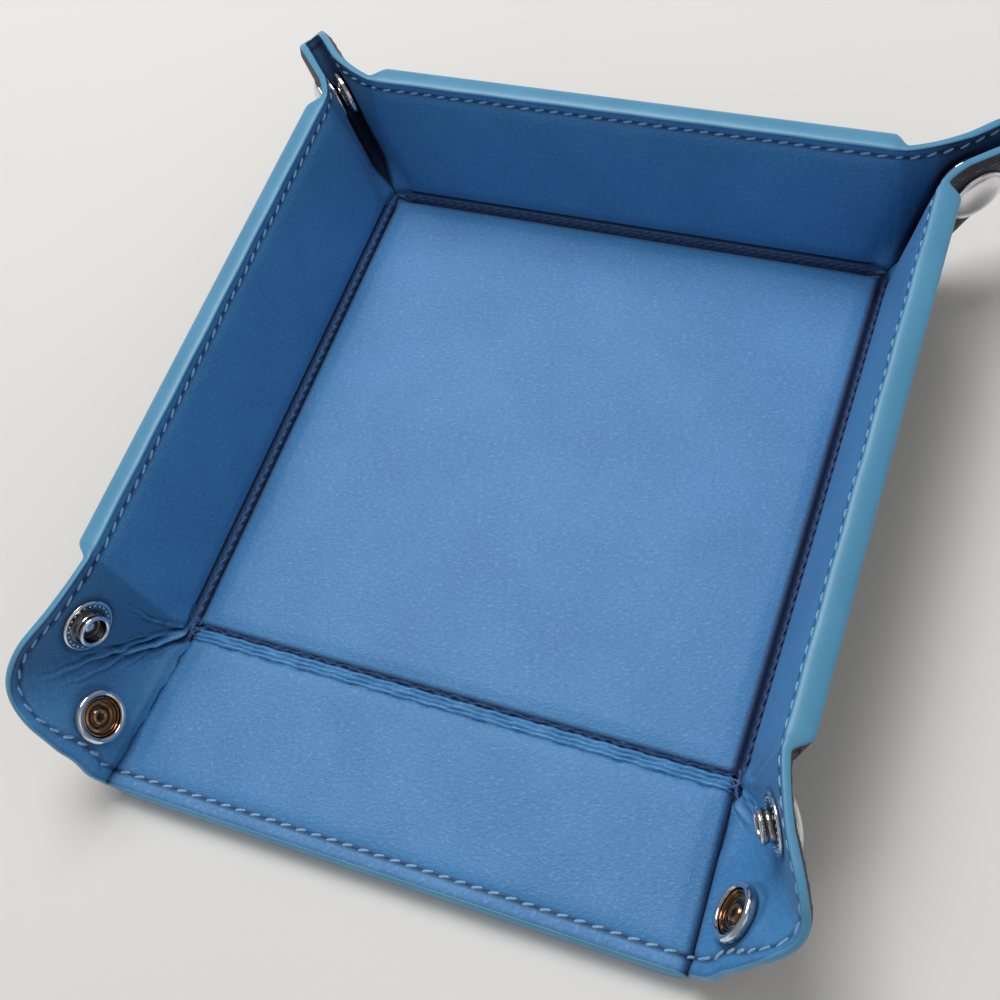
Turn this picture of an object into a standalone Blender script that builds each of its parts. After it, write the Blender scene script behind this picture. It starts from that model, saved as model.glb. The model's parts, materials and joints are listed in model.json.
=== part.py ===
"""Snap-corner leather jewelry tray, rear corners snapped, front wall lying open.

World frame: metres, +Z up, origin at the centre of the underside, +Y towards the rear wall.
Each wall is drawn flat in its own frame: x along the crease, y up the wall, z = 0 at the lining's
face, so the cover lies below it. An empty on the crease then lifts it. A corner is drawn flat too,
with p up the side edge and q out past it, and its leaves hang in a chain of empties on the folds.
"""
import math

import bmesh
import bpy
from mathutils import Matrix, Vector

MM = 0.001

# Overall sizes
BASE_W = 145.0 * MM
WALL_H = 40.0 * MM
LEATHER = 1.2 * MM
BOARD = 3.0 * MM
SEAT = 0.3 * MM
JOIN = 0.15 * MM

# How far each wall stands up from flat, in degrees
SIDE_LEAN = 75.0
REAR_LEAN = 79.5

# Boards and the thin bands of leather round them
CREASE_BAND = 2.4 * MM
BOARD_BACK = 1.8 * MM
FOLD_BAND = 2.6 * MM
FRONT_SLIT = 1.4 * MM
FRONT_BAND = 2.6 * MM
RIM_LIP = 0.4 * MM
PAN_SLOPE = 0.9 * MM
BASE_CORNER_CUT = 3.0 * MM

# Corner leaves
EAR_GAP = 4.6 * MM
CORNER_R = 21.0 * MM
CORNER_START = 7.0 * MM
MITRE = 0.75 * MM
FOLD_STRIP = 1.9 * MM
CURL_STRIP = 3.0 * MM
STRIP_START = 11.0 * MM
STRIP_END = 47.6 * MM
LAP = 0.6 * MM
ARC_STEPS = 8

# Bends of the two open front corners, in degrees: at the side wall, then along the diagonal
LEFT_BEND, LEFT_CURL = 20.0, 28.0
RIGHT_BEND, RIGHT_CURL = 28.0, 39.0
LEAF_SLANT = 16.0

# Snap fastener
SNAP_UP = 28.0 * MM
SNAP_OUT = 13.5 * MM
SNAP_STEPS = 20
EYELET_R = 1.8 * MM
EYELET_SLACK = 0.35 * MM
EYELET_END = 1.0 * MM
PLATE = 0.5 * MM
STUD_R = 6.1 * MM
STUD_H = 3.8 * MM
BARREL_R = 3.8 * MM
BARREL_WAIST = 0.45 * MM
BARREL_WALL = 1.1 * MM
ROLL = 0.4 * MM
SOCKET_R = 6.25 * MM
SOCKET_H = 2.3 * MM
SOCKET_SLACK = 0.55 * MM
CAP_R = 7.5 * MM
CAP_H = 2.4 * MM
CAP_EDGE = 0.6 * MM
CAP_STEPS = 4

# Thread
STITCH_PITCH = 3.0 * MM
NECK_SHARE = 0.45
THREAD_W = 0.8 * MM
THREAD_H = 0.5 * MM
RIM_SEAM_IN = 2.8 * MM
BASE_SEAM_IN = 3.6 * MM
GROOVE_DEPTH = 0.85 * MM
GROOVE_CUT = 1.5 * MM

# Sizes that follow from the ones above
PANEL = LEATHER + SEAT + BOARD + SEAT + LEATHER
THIN = LEATHER + SEAT + LEATHER
HALF = BASE_W / 2
BORE_R = EYELET_R + EYELET_SLACK
BEND_DEPTH = THIN / 2

FINISHES = {
    "lining_leather": ((0.09, 0.24, 0.46, 1.0), 0.45, 0.0),
    "cover_leather": ((0.03, 0.035, 0.045, 1.0), 0.55, 0.0),
    "stiffener_board": ((0.42, 0.36, 0.28, 1.0), 0.85, 0.0),
    "thread": ((0.12, 0.25, 0.40, 1.0), 0.7, 0.0),
    "chrome": ((0.80, 0.80, 0.82, 1.0), 0.12, 1.0),
}


def clear_scene():
    """Remove every object that the file opened with."""
    for item in list(bpy.data.objects):
        bpy.data.objects.remove(item, do_unlink=True)


def finish(key):
    """Return the Principled material of one finish, made on first use."""
    found = bpy.data.materials.get(key)
    if found:
        return found
    colour, rough, metal = FINISHES[key]
    material = bpy.data.materials.new(key)
    material.use_nodes = True
    shader = material.node_tree.nodes["Principled BSDF"]
    shader.inputs["Base Color"].default_value = colour
    shader.inputs["Roughness"].default_value = rough
    shader.inputs["Metallic"].default_value = metal
    return material


def solid(name, points, faces, look, parent=None, smooth=False):
    """Make one object from points and faces, its normals turned outwards."""
    mesh = bpy.data.meshes.new(name)
    mesh.from_pydata([tuple(point) for point in points], [], faces)
    work = bmesh.new()
    work.from_mesh(mesh)
    bmesh.ops.recalc_face_normals(work, faces=work.faces)
    work.to_mesh(mesh)
    work.free()
    mesh.materials.append(finish(look))
    if smooth:
        mesh.shade_smooth()
        mesh.set_sharp_from_angle(angle=math.radians(35))
    item = bpy.data.objects.new(name, mesh)
    bpy.context.scene.collection.objects.link(item)
    if parent:
        hang(item, parent)
    return item


def hang(item, pivot):
    """Parent a solid drawn in its panel's flat frame to the empty on its joint axis."""
    item.parent = pivot
    item.location = -Vector(pivot["anchor"])


def pivot(name, parent, anchor, axis, degrees):
    """Place an empty at an anchor of the flat pattern and turn it about an axis there."""
    item = bpy.data.objects.new(name, None)
    bpy.context.scene.collection.objects.link(item)
    item.empty_display_size = CAP_R
    before = Vector(parent["anchor"]) if parent else Vector()
    item.parent = parent
    item.matrix_basis = (Matrix.Translation(Vector(anchor) - before)
                         @ Matrix.Rotation(math.radians(degrees), 4, Vector(axis)))
    item["anchor"] = tuple(anchor)
    item["axis"] = tuple(axis)
    return item


def slab(name, outline, top, bottom, look, parent):
    """Raise a flat outline into a plate between two heights."""
    count = len(outline)
    points = [(x, y, z) for z in (top, bottom) for x, y in outline]
    faces = [list(range(count)), list(range(2 * count - 1, count - 1, -1))]
    faces += [[i, (i + 1) % count, count + (i + 1) % count, count + i] for i in range(count)]
    return solid(name, points, faces, look, parent)


def pan(name, flange_in, flange_out, well, shell, floor, look, parent):
    """Make a cover: a thin flange round a well that holds the board.

    The loops run from the flange's upper edge in to the well's mouth and floor, and back up
    the outside. All have the same number of corners.
    """
    upper, lower = -LEATHER - SEAT, -THIN
    inner_floor = -PANEL + LEATHER
    loops = [(flange_in, upper), (well, upper), (well, inner_floor)]
    outer = [(floor, -PANEL), (shell, lower), (flange_out, lower)]
    count = len(well)
    points = [(x, y, z) for loop, z in loops + outer for x, y in loop]
    faces = []
    for first, second in ((0, 1), (1, 2), (3, 4), (4, 5), (5, 0)):
        faces += [[first * count + i, first * count + (i + 1) % count,
                   second * count + (i + 1) % count, second * count + i] for i in range(count)]
    faces.append([2 * count + i for i in range(count)])
    faces.append([3 * count + i for i in range(count)])
    return solid(name, points, faces, look, parent)


def turned(name, profile, centre, look, parent):
    """Turn a profile of (radius, height) about the z axis through a centre.

    A point at radius zero is one pole, and the profile closes on itself.
    """
    points, rows = [], []
    for radius, height in profile:
        start = len(points)
        if radius == 0:
            points.append((centre[0], centre[1], height))
            rows.append([start] * SNAP_STEPS)
            continue
        for step in range(SNAP_STEPS):
            turn = 2 * math.pi * step / SNAP_STEPS
            points.append((centre[0] + radius * math.cos(turn),
                           centre[1] + radius * math.sin(turn), height))
        rows.append(list(range(start, start + SNAP_STEPS)))
    faces = []
    for index, row in enumerate(rows):
        after = rows[(index + 1) % len(rows)]
        if len(set(row)) == 1 and len(set(after)) == 1:
            continue
        for step in range(SNAP_STEPS):
            nxt = (step + 1) % SNAP_STEPS
            corners = [row[step], row[nxt], after[nxt], after[step]]
            faces.append([c for i, c in enumerate(corners) if c not in corners[:i]])
    return solid(name, points, faces, look, parent, smooth=True)


def clip(outline, origin, direction, keep):
    """Cut a convex outline along a line and keep the side where the signed distance is over keep.

    The distance is counted to the left of the direction.
    """
    length = math.hypot(*direction)
    normal = (-direction[1] / length, direction[0] / length)

    def height(point):
        return (point[0] - origin[0]) * normal[0] + (point[1] - origin[1]) * normal[1] - keep

    kept = []
    for index, point in enumerate(outline):
        after = outline[(index + 1) % len(outline)]
        a, b = height(point), height(after)
        if a >= 0:
            kept.append(point)
        if (a >= 0) != (b >= 0):
            share = a / (a - b)
            kept.append((point[0] + share * (after[0] - point[0]),
                         point[1] + share * (after[1] - point[1])))
    return kept


def corner_pattern():
    """Return the corner's flat square, in (q, p), with its outer corner rounded off."""
    centre = WALL_H - CORNER_R
    outline = [(-HALF, 0), (WALL_H, 0)]
    for step in range(ARC_STEPS + 1):
        turn = math.pi / 2 * step / ARC_STEPS
        outline.append((centre + CORNER_R * math.cos(turn), centre + CORNER_R * math.sin(turn)))
    outline.append((-HALF, WALL_H))
    return outline


class Ear:
    """The fold lines where two standing walls meet, worked out from how far each one leans."""

    def __init__(self, own_lean, other_lean):
        own, other = math.radians(own_lean), math.radians(other_lean)
        meet = Vector((1 / math.tan(own), 1 / math.tan(other), 1)).normalized()
        up_own = Vector((math.cos(own), 0, math.sin(own)))
        up_other = Vector((0, math.cos(other), math.sin(other)))
        self.slant = math.atan2(meet.y, meet.dot(up_own))
        other_slant = math.atan2(meet.x, meet.dot(up_other))
        beyond_own = Vector((0, 1, 0)) - meet * meet.y
        beyond_other = Vector((1, 0, 0)) - meet * meet.x
        self.bend = beyond_own.angle(beyond_other) / 2
        self.diagonal = math.pi / 4 + (self.slant - other_slant) / 2
        self.back = (EAR_GAP / 2 + BEND_DEPTH * (1 - math.cos(self.bend))) / math.sin(self.bend)

    def fold_line(self, out=0.0, slant=None):
        """Return a point and direction, in (q, p), of the fold at the wall, moved outwards.

        The fold's own slant is used unless another one is given, in radians.
        """
        slant = self.slant if slant is None else slant
        across = (math.cos(slant), -math.sin(slant))
        shift = out - self.back
        return (shift * across[0], shift * across[1]), (math.sin(slant), math.cos(slant))

    def diagonal_line(self, out=0.0):
        """Return a point and direction, in (q, p), of the diagonal, moved past it by out."""
        across = (math.cos(self.diagonal), -math.sin(self.diagonal))
        return ((out * across[0], out * across[1]),
                (math.sin(self.diagonal), math.cos(self.diagonal)))


REAR_EAR_SIDE = Ear(SIDE_LEAN, REAR_LEAN)
REAR_EAR_REAR = Ear(REAR_LEAN, SIDE_LEAN)
FRONT_EAR = Ear(SIDE_LEAN, SIDE_LEAN)


def place(end, outline):
    """Carry an outline in (q, p) to the flat frame of the wall whose end it is at."""
    return [(end * (HALF + q), p) for q, p in outline]


def fold_pivot(name, parent, end, line, height, degrees):
    """Put an empty on a fold line of a corner, turned by degrees towards the outside."""
    (q, p), (dq, dp) = line
    return pivot(name, parent, (end * (HALF + q), p, height), (end * dq, dp, 0.0), end * degrees)


def wall_edges(ears, band_end):
    """Return the half widths of a wall at its foot and rim, and of its board, as functions.

    ears gives the fold at each end, the left one first, or None for the open front wall.
    """
    def leather(ear, height, inset):
        if ear is None:
            return HALF - FRONT_SLIT - inset
        (q, p), (dq, dp) = ear.fold_line(-inset)
        return HALF + q + (height - p) * dq / dp

    def board(ear, height):
        edge = leather(ear, height, band_end)
        return edge if ear is None else min(edge, HALF - BOARD_BACK)

    return leather, board


def wall_outline(ears, low, high, inset, board_kind=False, grow=0.0):
    """Return a wall's outline with a point at each foot, each knee and each rim corner.

    With board_kind the sides follow the board, which stands square above its knee.
    """
    band = FRONT_BAND if ears[0] is None else FOLD_BAND
    leather, board = wall_edges(ears, band)
    right = []
    for ear in ears:
        knee = low + (high - low) / 3
        if board_kind and ear is not None:
            (q, p), (dq, dp) = ear.fold_line(-band)
            knee = max(low + LEATHER, p + (-BOARD_BACK - q) * dp / dq)
        side = [low, knee, high]
        if board_kind:
            right.append([(board(ear, level) + grow, level) for level in side])
        else:
            right.append([(leather(ear, level, inset), level) for level in side])
    left_side = [(-x, y) for x, y in reversed(right[0])]
    return right[1] + left_side


def make_wall(name, yaw, lean, ears):
    """Make one wall: an empty on its crease, and its board, lining and cover."""
    root = pivot(name + "_pivot", None, (0.0, 0.0, 0.0), (1.0, 0.0, 0.0), 0.0)
    turn = Matrix.Rotation(math.radians(yaw), 4, "Z")
    root.matrix_basis = (turn @ Matrix.Translation((0.0, HALF, PANEL))
                         @ Matrix.Rotation(math.radians(lean), 4, "X"))
    board_low = CREASE_BAND + SEAT
    board_high = WALL_H - LEATHER - SEAT
    outline = wall_outline(ears, JOIN, WALL_H, JOIN)
    slab(name + "_lining", outline, 0.0, -LEATHER, "lining_leather", root)
    board = wall_outline(ears, board_low, board_high, 0.0, board_kind=True)
    slab(name + "_board", board, -LEATHER - SEAT, -PANEL + LEATHER + SEAT, "stiffener_board", root)
    flange_in = wall_outline(ears, JOIN, WALL_H - RIM_LIP, MITRE)
    well = wall_outline(ears, board_low - SEAT, board_high + SEAT, 0.0, True, SEAT)
    shell = wall_outline(ears, board_low - SEAT - PAN_SLOPE, WALL_H, 0.0, True, SEAT + LEATHER)
    floor = wall_outline(ears, board_low - SEAT, WALL_H, 0.0, True, SEAT + LEATHER - PAN_SLOPE)
    pan(name + "_cover", flange_in, flange_in, well, shell, floor, "cover_leather", root)
    run = HALF - BOARD_BACK - STITCH_PITCH
    level = WALL_H - RIM_SEAM_IN
    thread(name + "_rim_thread", [(-run, level), (run, level)], False, root)
    return root


def square(half, cut):
    """Return a square outline with its corners cut off."""
    near = half - cut
    return [(near, -half), (half, -near), (half, near), (near, half),
            (-near, half), (-half, near), (-half, -near), (-near, -half)]


def grooved_slab(name, outline, groove_out, groove_in, look, parent):
    """Make a lining whose face has a groove all round, where its seam lies sunk.

    The loops run from the underside up the outside, down and up the groove, to the inner face.
    """
    loops = [(outline, -LEATHER), (outline, 0.0), (groove_out, 0.0), (groove_out, -GROOVE_DEPTH),
             (groove_in, -GROOVE_DEPTH), (groove_in, 0.0)]
    count = len(outline)
    points = [(x, y, z) for loop, z in loops for x, y in loop]
    faces = [list(range(count)), list(range((len(loops) - 1) * count, len(loops) * count))]
    for row in range(len(loops) - 1):
        faces += [[row * count + i, row * count + (i + 1) % count,
                   (row + 1) * count + (i + 1) % count, (row + 1) * count + i] for i in range(count)]
    return solid(name, points, faces, look, parent)


def make_base():
    """Make the base panel, whose underside is the resting face."""
    root = pivot("base_pivot", None, (0.0, 0.0, 0.0), (1.0, 0.0, 0.0), 0.0)
    root.matrix_basis = Matrix.Translation((0.0, 0.0, PANEL))
    board = HALF - CREASE_BAND - SEAT
    cut = BASE_CORNER_CUT
    reach = HALF - BASE_SEAM_IN
    slack = THREAD_W / 2 + SEAT
    grooved_slab("base_lining", square(HALF - JOIN, cut), square(reach + slack, GROOVE_CUT),
                 square(reach - slack, GROOVE_CUT), "lining_leather", root)
    slab("base_board", square(board, cut), -LEATHER - SEAT, -PANEL + LEATHER + SEAT,
         "stiffener_board", root)
    flange = square(HALF - JOIN, cut)
    pan("base_cover", flange, flange, square(board + SEAT, cut), square(board + SEAT + PAN_SLOPE, cut),
        square(board + SEAT, cut), "cover_leather", root)
    near = reach - GROOVE_CUT
    loop = [(near, -reach), (reach, -near), (reach, near), (near, reach),
            (-near, reach), (-reach, near), (-reach, -near), (-near, -reach)]
    thread("base_thread", loop, True, root, SEAT - GROOVE_DEPTH)
    return root


def thread(name, corners, closed, parent, level=SEAT):
    """Make one seam: a thread that swells at each stitch and is drawn in where it dives.

    Its three-sided sections follow the straight runs between the corners, from a level upwards.
    """
    stops = corners + corners[:1] if closed else corners
    points = []
    for start, end in zip(stops, stops[1:]):
        first = Vector((*start, 0.0))
        run = Vector((*end, 0.0)) - first
        count = 2 * max(1, int(run.length / STITCH_PITCH))
        across = Vector((-run.y, run.x, 0.0)).normalized()
        for index in range(count):
            spot = first + run * ((index + 1 / 2) / count)
            share = 1.0 if index % 2 else NECK_SHARE
            for side, lift in ((-1, 0), (1, 0), (0, 1)):
                offset = across * (side * share * THREAD_W / 2)
                points.append((spot.x + offset.x, spot.y + offset.y, level + lift * share * THREAD_H))
    rings = len(points) // 3
    faces = []
    for ring in range(rings if closed else rings - 1):
        here, after = 3 * ring, 3 * ((ring + 1) % rings)
        faces += [[here + i, here + (i + 1) % 3, after + (i + 1) % 3, after + i] for i in range(3)]
    if not closed:
        last = 3 * (rings - 1)
        faces += [[0, 1, 2], [last, last + 1, last + 2]]
    return solid(name, points, faces, "thread", parent)


def leaf(name, parent, end, outlines, snap):
    """Make the two leathers of a corner leaf, with an eyelet hole where its snap goes."""
    cutter = turned(name + "_eyelet", [(0, THIN), (BORE_R, THIN), (BORE_R, -PANEL), (0, -PANEL)],
                    snap, "chrome", parent)
    cutter.hide_render = True
    cutter.display_type = "WIRE"
    lining = slab(name + "_lining", place(end, outlines[0]), 0.0, -LEATHER, "lining_leather", parent)
    cover = slab(name + "_cover", place(end, outlines[1]), -LEATHER - SEAT, -THIN,
                 "cover_leather", parent)
    for item in (lining, cover):
        hole = item.modifiers.new("eyelet", "BOOLEAN")
        hole.operation = "DIFFERENCE"
        hole.solver = "EXACT"
        hole.object = cutter


def make_stud(name, parent, centre):
    """Make the stud: a flat ring under a waisted hollow barrel with a rolled head."""
    foot = SEAT + PLATE
    waist = BARREL_R - BARREL_WAIST
    inner = BARREL_R - BARREL_WALL
    profile = [(BORE_R, SEAT), (STUD_R, SEAT), (STUD_R, foot), (waist + ROLL, foot + ROLL),
               (waist, (foot + STUD_H) / 2), (BARREL_R, STUD_H - 2 * ROLL),
               (BARREL_R - ROLL / 2, STUD_H - ROLL / 2), (BARREL_R - ROLL, STUD_H),
               (inner, STUD_H - ROLL), (inner, foot), (BORE_R, foot)]
    turned(name, profile, centre, "chrome", parent)


def make_socket(name, parent, centre):
    """Make the socket: a ring whose well takes the stud's barrel with clearance."""
    well = BARREL_R + SOCKET_SLACK
    foot = SEAT + PLATE / 2
    profile = [(BORE_R, SEAT), (SOCKET_R, SEAT), (SOCKET_R, SOCKET_H - ROLL),
               (SOCKET_R - ROLL, SOCKET_H), (well + ROLL, SOCKET_H), (well, SOCKET_H - ROLL),
               (well, foot), (BORE_R, foot)]
    turned(name, profile, centre, "chrome", parent)


def make_cap(name, parent, centre):
    """Make the outer cap: a dome on a post that runs through both leathers."""
    seat = -THIN - SEAT
    rise = CAP_H - CAP_EDGE
    profile = [(0, EYELET_END), (EYELET_R, EYELET_END), (EYELET_R, seat), (CAP_R, seat),
               (CAP_R, seat - CAP_EDGE)]
    for step in range(1, CAP_STEPS):
        turn = math.pi / 2 * step / CAP_STEPS
        profile.append((CAP_R * math.cos(turn), seat - CAP_EDGE - rise * math.sin(turn)))
    profile.append((0, seat - CAP_H))
    turned(name, profile, centre, "chrome", parent)


def make_snap_half(kind, name, parent, centre):
    """Make one half of a snap on a leaf, with the cap that holds it."""
    if kind == "stud":
        make_stud(name + "_stud", parent, centre)
    else:
        make_socket(name + "_socket", parent, centre)
    make_cap(name + "_" + kind + "_cap", parent, centre)


def snap_place(ear, own_side):
    """Return a snap half's (q, p): as set on the side wall's leaf, mirrored on the other."""
    if own_side:
        return SNAP_OUT, SNAP_UP
    side = REAR_EAR_SIDE
    angle = math.atan2(SNAP_OUT, SNAP_UP)
    reach = math.hypot(SNAP_OUT, SNAP_UP)
    below = side.diagonal - angle
    turn = ear.diagonal - below
    return reach * math.sin(turn), reach * math.cos(turn)


def make_rear_leaf(name, wall, end, ear, kind):
    """Make a snapped rear leaf: it turns out of its wall by the ear's bend."""
    turn = fold_pivot(name + "_pivot", wall, end, ear.fold_line(), -BEND_DEPTH,
                      math.degrees(ear.bend))
    outlines = []
    for back in (JOIN, MITRE):
        shape = clip(corner_pattern(), *reverse(ear.fold_line()), back)
        shape = clip(shape, *ear.diagonal_line(), JOIN)
        outlines.append(clip(shape, *start_line(ear, CORNER_START), 0.0))
    q, p = snap_place(ear, kind == "stud")
    centre = (end * (HALF + q), p)
    leaf(name, turn, end, outlines, centre)
    make_snap_half(kind, name, turn, centre)


def reverse(line):
    """Return a line with its direction turned round, so that clip keeps its other side."""
    origin, (dq, dp) = line
    return origin, (-dq, -dp)


def start_line(ear, distance):
    """Return a line square to the diagonal, a distance from the corner, kept outwards."""
    dq, dp = math.sin(ear.diagonal), math.cos(ear.diagonal)
    return (dq * distance, dp * distance), (dp, -dq)


def make_front_corner(side, wall, end, bend, curl):
    """Make an open front corner: two leaves, and a narrow strip at each bend between them."""
    ear = FRONT_EAR
    half_curl = CURL_STRIP / 2
    lift = (EAR_GAP - CURL_STRIP * math.sin(math.radians(curl))) / 2
    own, far = side + "_front", "front_" + side
    fold = fold_pivot(own + "_fold_pivot", wall, end, ear.fold_line(), -BEND_DEPTH, bend)
    leaf_fold = ear.fold_line(FOLD_STRIP, math.radians(LEAF_SLANT))
    first = fold_pivot(own + "_pivot", fold, end, leaf_fold, -BEND_DEPTH, 0.0)
    strip = fold_pivot(own + "_curl_pivot", first, end, ear.diagonal_line(-half_curl), lift, -curl)
    second = fold_pivot(far + "_pivot", strip, end, ear.diagonal_line(half_curl), lift, 0.0)

    shape = clip(corner_pattern(), *reverse(ear.fold_line()), JOIN)
    shape = clip(shape, *leaf_fold, JOIN)
    shape = clip(shape, *start_line(ear, STRIP_START), 0.0)
    slab(own + "_fold", place(end, shape), -JOIN, -JOIN - LEATHER, "lining_leather", fold)

    outlines = []
    for back in (JOIN, MITRE):
        shape = clip(corner_pattern(), *reverse(leaf_fold), back)
        shape = clip(shape, *ear.diagonal_line(-half_curl), JOIN)
        outlines.append(clip(shape, *start_line(ear, STRIP_START), 0.0))
    centre = (end * (HALF + SNAP_OUT), SNAP_UP)
    leaf(own, first, end, outlines, centre)
    make_snap_half("stud", own, first, centre)

    near, past = -half_curl + JOIN, half_curl - JOIN
    section = [(near, -LEATHER), (past, -LEATHER), (past, 0.0), (near + LAP, 0.0),
               (near + LAP, SEAT + LAP), (near - LAP, SEAT + LAP), (near - LAP, SEAT), (near, SEAT)]
    lapped_strip(own + "_curl", section, end, ear, "lining_leather", strip)

    shape = clip(corner_pattern(), *reverse(ear.diagonal_line(half_curl)), JOIN)
    shape = clip(shape, *start_line(ear, CORNER_START), 0.0)
    outline = clip(shape, (0.0, 0.0), (1.0, 0.0), JOIN)
    q, p = front_socket_place(ear, curl)
    centre = (end * (HALF + q), p)
    leaf(far, second, end, [outline, outline], centre)
    make_snap_half("socket", far, second, centre)


def lapped_strip(name, section, end, ear, look, parent):
    """Run a section of (out past the diagonal, height) along the diagonal of a corner.

    Its raised edge laps over the leaf before it, so the fold stays covered as it bends.
    """
    dq, dp = math.sin(ear.diagonal), math.cos(ear.diagonal)
    count = len(section)
    points = []
    for along in (STRIP_START, STRIP_END):
        for out, height in section:
            (spot,) = place(end, [(along * dq + out * dp, along * dp - out * dq)])
            points.append((*spot, height))
    faces = [list(range(count)), list(range(count, 2 * count))]
    faces += [[i, (i + 1) % count, count + (i + 1) % count, count + i] for i in range(count)]
    return solid(name, points, faces, look, parent)


def front_socket_place(ear, curl):
    """Return the (q, p) of a front socket, square over its stud once the corner is closed."""
    dq, dp = math.sin(ear.diagonal), math.cos(ear.diagonal)
    along = SNAP_OUT * dq + SNAP_UP * dp
    short = SNAP_UP * dq - SNAP_OUT * dp
    past = short + CURL_STRIP * math.cos(math.radians(curl))
    return along * dq + past * dp, along * dp - past * dq


def build():
    """Make the whole tray."""
    clear_scene()
    make_base()
    side = (FRONT_EAR, REAR_EAR_SIDE)
    left = make_wall("left_wall", 90.0, SIDE_LEAN, side)
    right = make_wall("right_wall", -90.0, SIDE_LEAN, side[::-1])
    rear = make_wall("rear_wall", 0.0, REAR_LEAN, (REAR_EAR_REAR, REAR_EAR_REAR))
    make_wall("front_wall", 180.0, 0.0, (None, None))
    make_rear_leaf("left_rear", left, 1, REAR_EAR_SIDE, "stud")
    make_rear_leaf("rear_left", rear, -1, REAR_EAR_REAR, "socket")
    make_rear_leaf("right_rear", right, -1, REAR_EAR_SIDE, "stud")
    make_rear_leaf("rear_right", rear, 1, REAR_EAR_REAR, "socket")
    make_front_corner("left", left, -1, LEFT_BEND, LEFT_CURL)
    make_front_corner("right", right, 1, RIGHT_BEND, RIGHT_CURL)
    bpy.context.view_layer.update()


build()
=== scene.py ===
"""Snap-corner leather jewelry tray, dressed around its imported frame.

All leather is worked out in a flat pattern in millimetres: x along a wall's crease, y up the wall
and z above the lining's face. A chart then carries the pattern to its place in the tray, bent over
its folds, and the mesh is written in metres.
"""
from __future__ import annotations

import json
import logging
import math
from dataclasses import dataclass, field
from enum import Enum
from typing import Any

import bpy
import numpy as np
from mathutils import Matrix, Vector

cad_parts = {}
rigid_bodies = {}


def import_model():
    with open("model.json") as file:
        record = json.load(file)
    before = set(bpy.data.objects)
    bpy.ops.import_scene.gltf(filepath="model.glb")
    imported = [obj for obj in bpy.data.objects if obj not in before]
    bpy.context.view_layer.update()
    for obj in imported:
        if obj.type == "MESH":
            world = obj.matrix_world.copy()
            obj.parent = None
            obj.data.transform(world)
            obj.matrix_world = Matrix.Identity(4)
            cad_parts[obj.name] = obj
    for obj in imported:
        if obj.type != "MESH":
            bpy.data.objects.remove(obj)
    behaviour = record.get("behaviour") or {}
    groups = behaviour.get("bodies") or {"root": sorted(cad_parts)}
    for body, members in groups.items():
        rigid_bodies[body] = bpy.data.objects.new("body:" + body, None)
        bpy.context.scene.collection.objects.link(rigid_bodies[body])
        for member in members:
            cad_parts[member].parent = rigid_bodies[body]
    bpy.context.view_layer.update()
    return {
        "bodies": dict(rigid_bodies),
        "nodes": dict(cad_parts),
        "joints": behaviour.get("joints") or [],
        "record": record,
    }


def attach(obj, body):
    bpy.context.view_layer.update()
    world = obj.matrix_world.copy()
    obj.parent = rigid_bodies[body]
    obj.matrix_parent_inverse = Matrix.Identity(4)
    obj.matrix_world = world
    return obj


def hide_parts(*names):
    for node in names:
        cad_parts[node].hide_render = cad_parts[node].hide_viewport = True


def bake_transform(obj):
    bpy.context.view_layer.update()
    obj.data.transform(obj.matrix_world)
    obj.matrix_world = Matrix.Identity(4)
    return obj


LOG = logging.getLogger("tray")
Array = np.ndarray
Colour = tuple[float, float, float, float]
Finishes = dict[str, bpy.types.Material]
SQRT_HALF = math.sqrt(0.5)

# The pattern's millimetres as metres of a mesh, and as units of the UV map.
MM = 0.001
UV_UNIT = 0.01

# The panels: half the base's width, a wall's height, the thickness with a board and without, one
# leather, the base board's end with the run that eases it off, and the wall boards' two faces.
HALF = 72.5
WALL_H = 40.0
PANEL = 6.0
THIN = 2.7
LEATHER = 1.2
BOARD_END, BOARD_EASE = 69.8, 1.6
BOARD_FACES = (-1.5, -4.6)

# The creases: the walls' leans in degrees from flat, half a band's width, and how far before a
# wall's end the band begins to turn sharp, with the run over which it does.
SIDE_LEAN, REAR_LEAN = 75.0, 79.5
BAND = 2.4
SHARP_FROM, SHARP_RUN = 6.7, 5.7

# The corners: the rim's radius and where its arc begins, the room between a closed ear's leaves,
# the strips at an open corner's fold and curl, and the front wall's end with its flare by end.
ROUND = 16.5
ROUND_AT = WALL_H - ROUND
EAR_GAP = 4.6
FOLD_STRIP, CURL_STRIP = 1.9, 3.0
FRONT_END = HALF - 1.4
FLARE = {1: 0.12, -1: 0.035}

# The rim: how far the paint lets the leather come, the share that a thin edge loses and the run
# over which it does, the lip past the seam, and the seam's inset and stitch spacing.
RIM_IN = 0.45
SKIVED, SKIVE_RUN = 0.36, 3.0
LIP = 2.4
THREAD_IN = 2.8
STITCH_PITCH = 4.1

# The cords' twist. A snap's place up and out from the base's corner, and the ring it presses in.
CORD_PITCH = 3.0
SNAP_UP, SNAP_OUT = 28.0, 13.5
SNAP_RING = 6.9


def smooth(value: Array) -> Array:
    """Ease from 0 to 1: 3v squared less 2v cubed, held outside."""
    held = np.clip(value, 0.0, 1.0)
    return held * held * (3.0 - 2.0 * held)


def bell(value: Array, width: float) -> Array:
    """Return e to the minus (value / width) squared."""
    return np.exp(-np.square(value / width))


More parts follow.
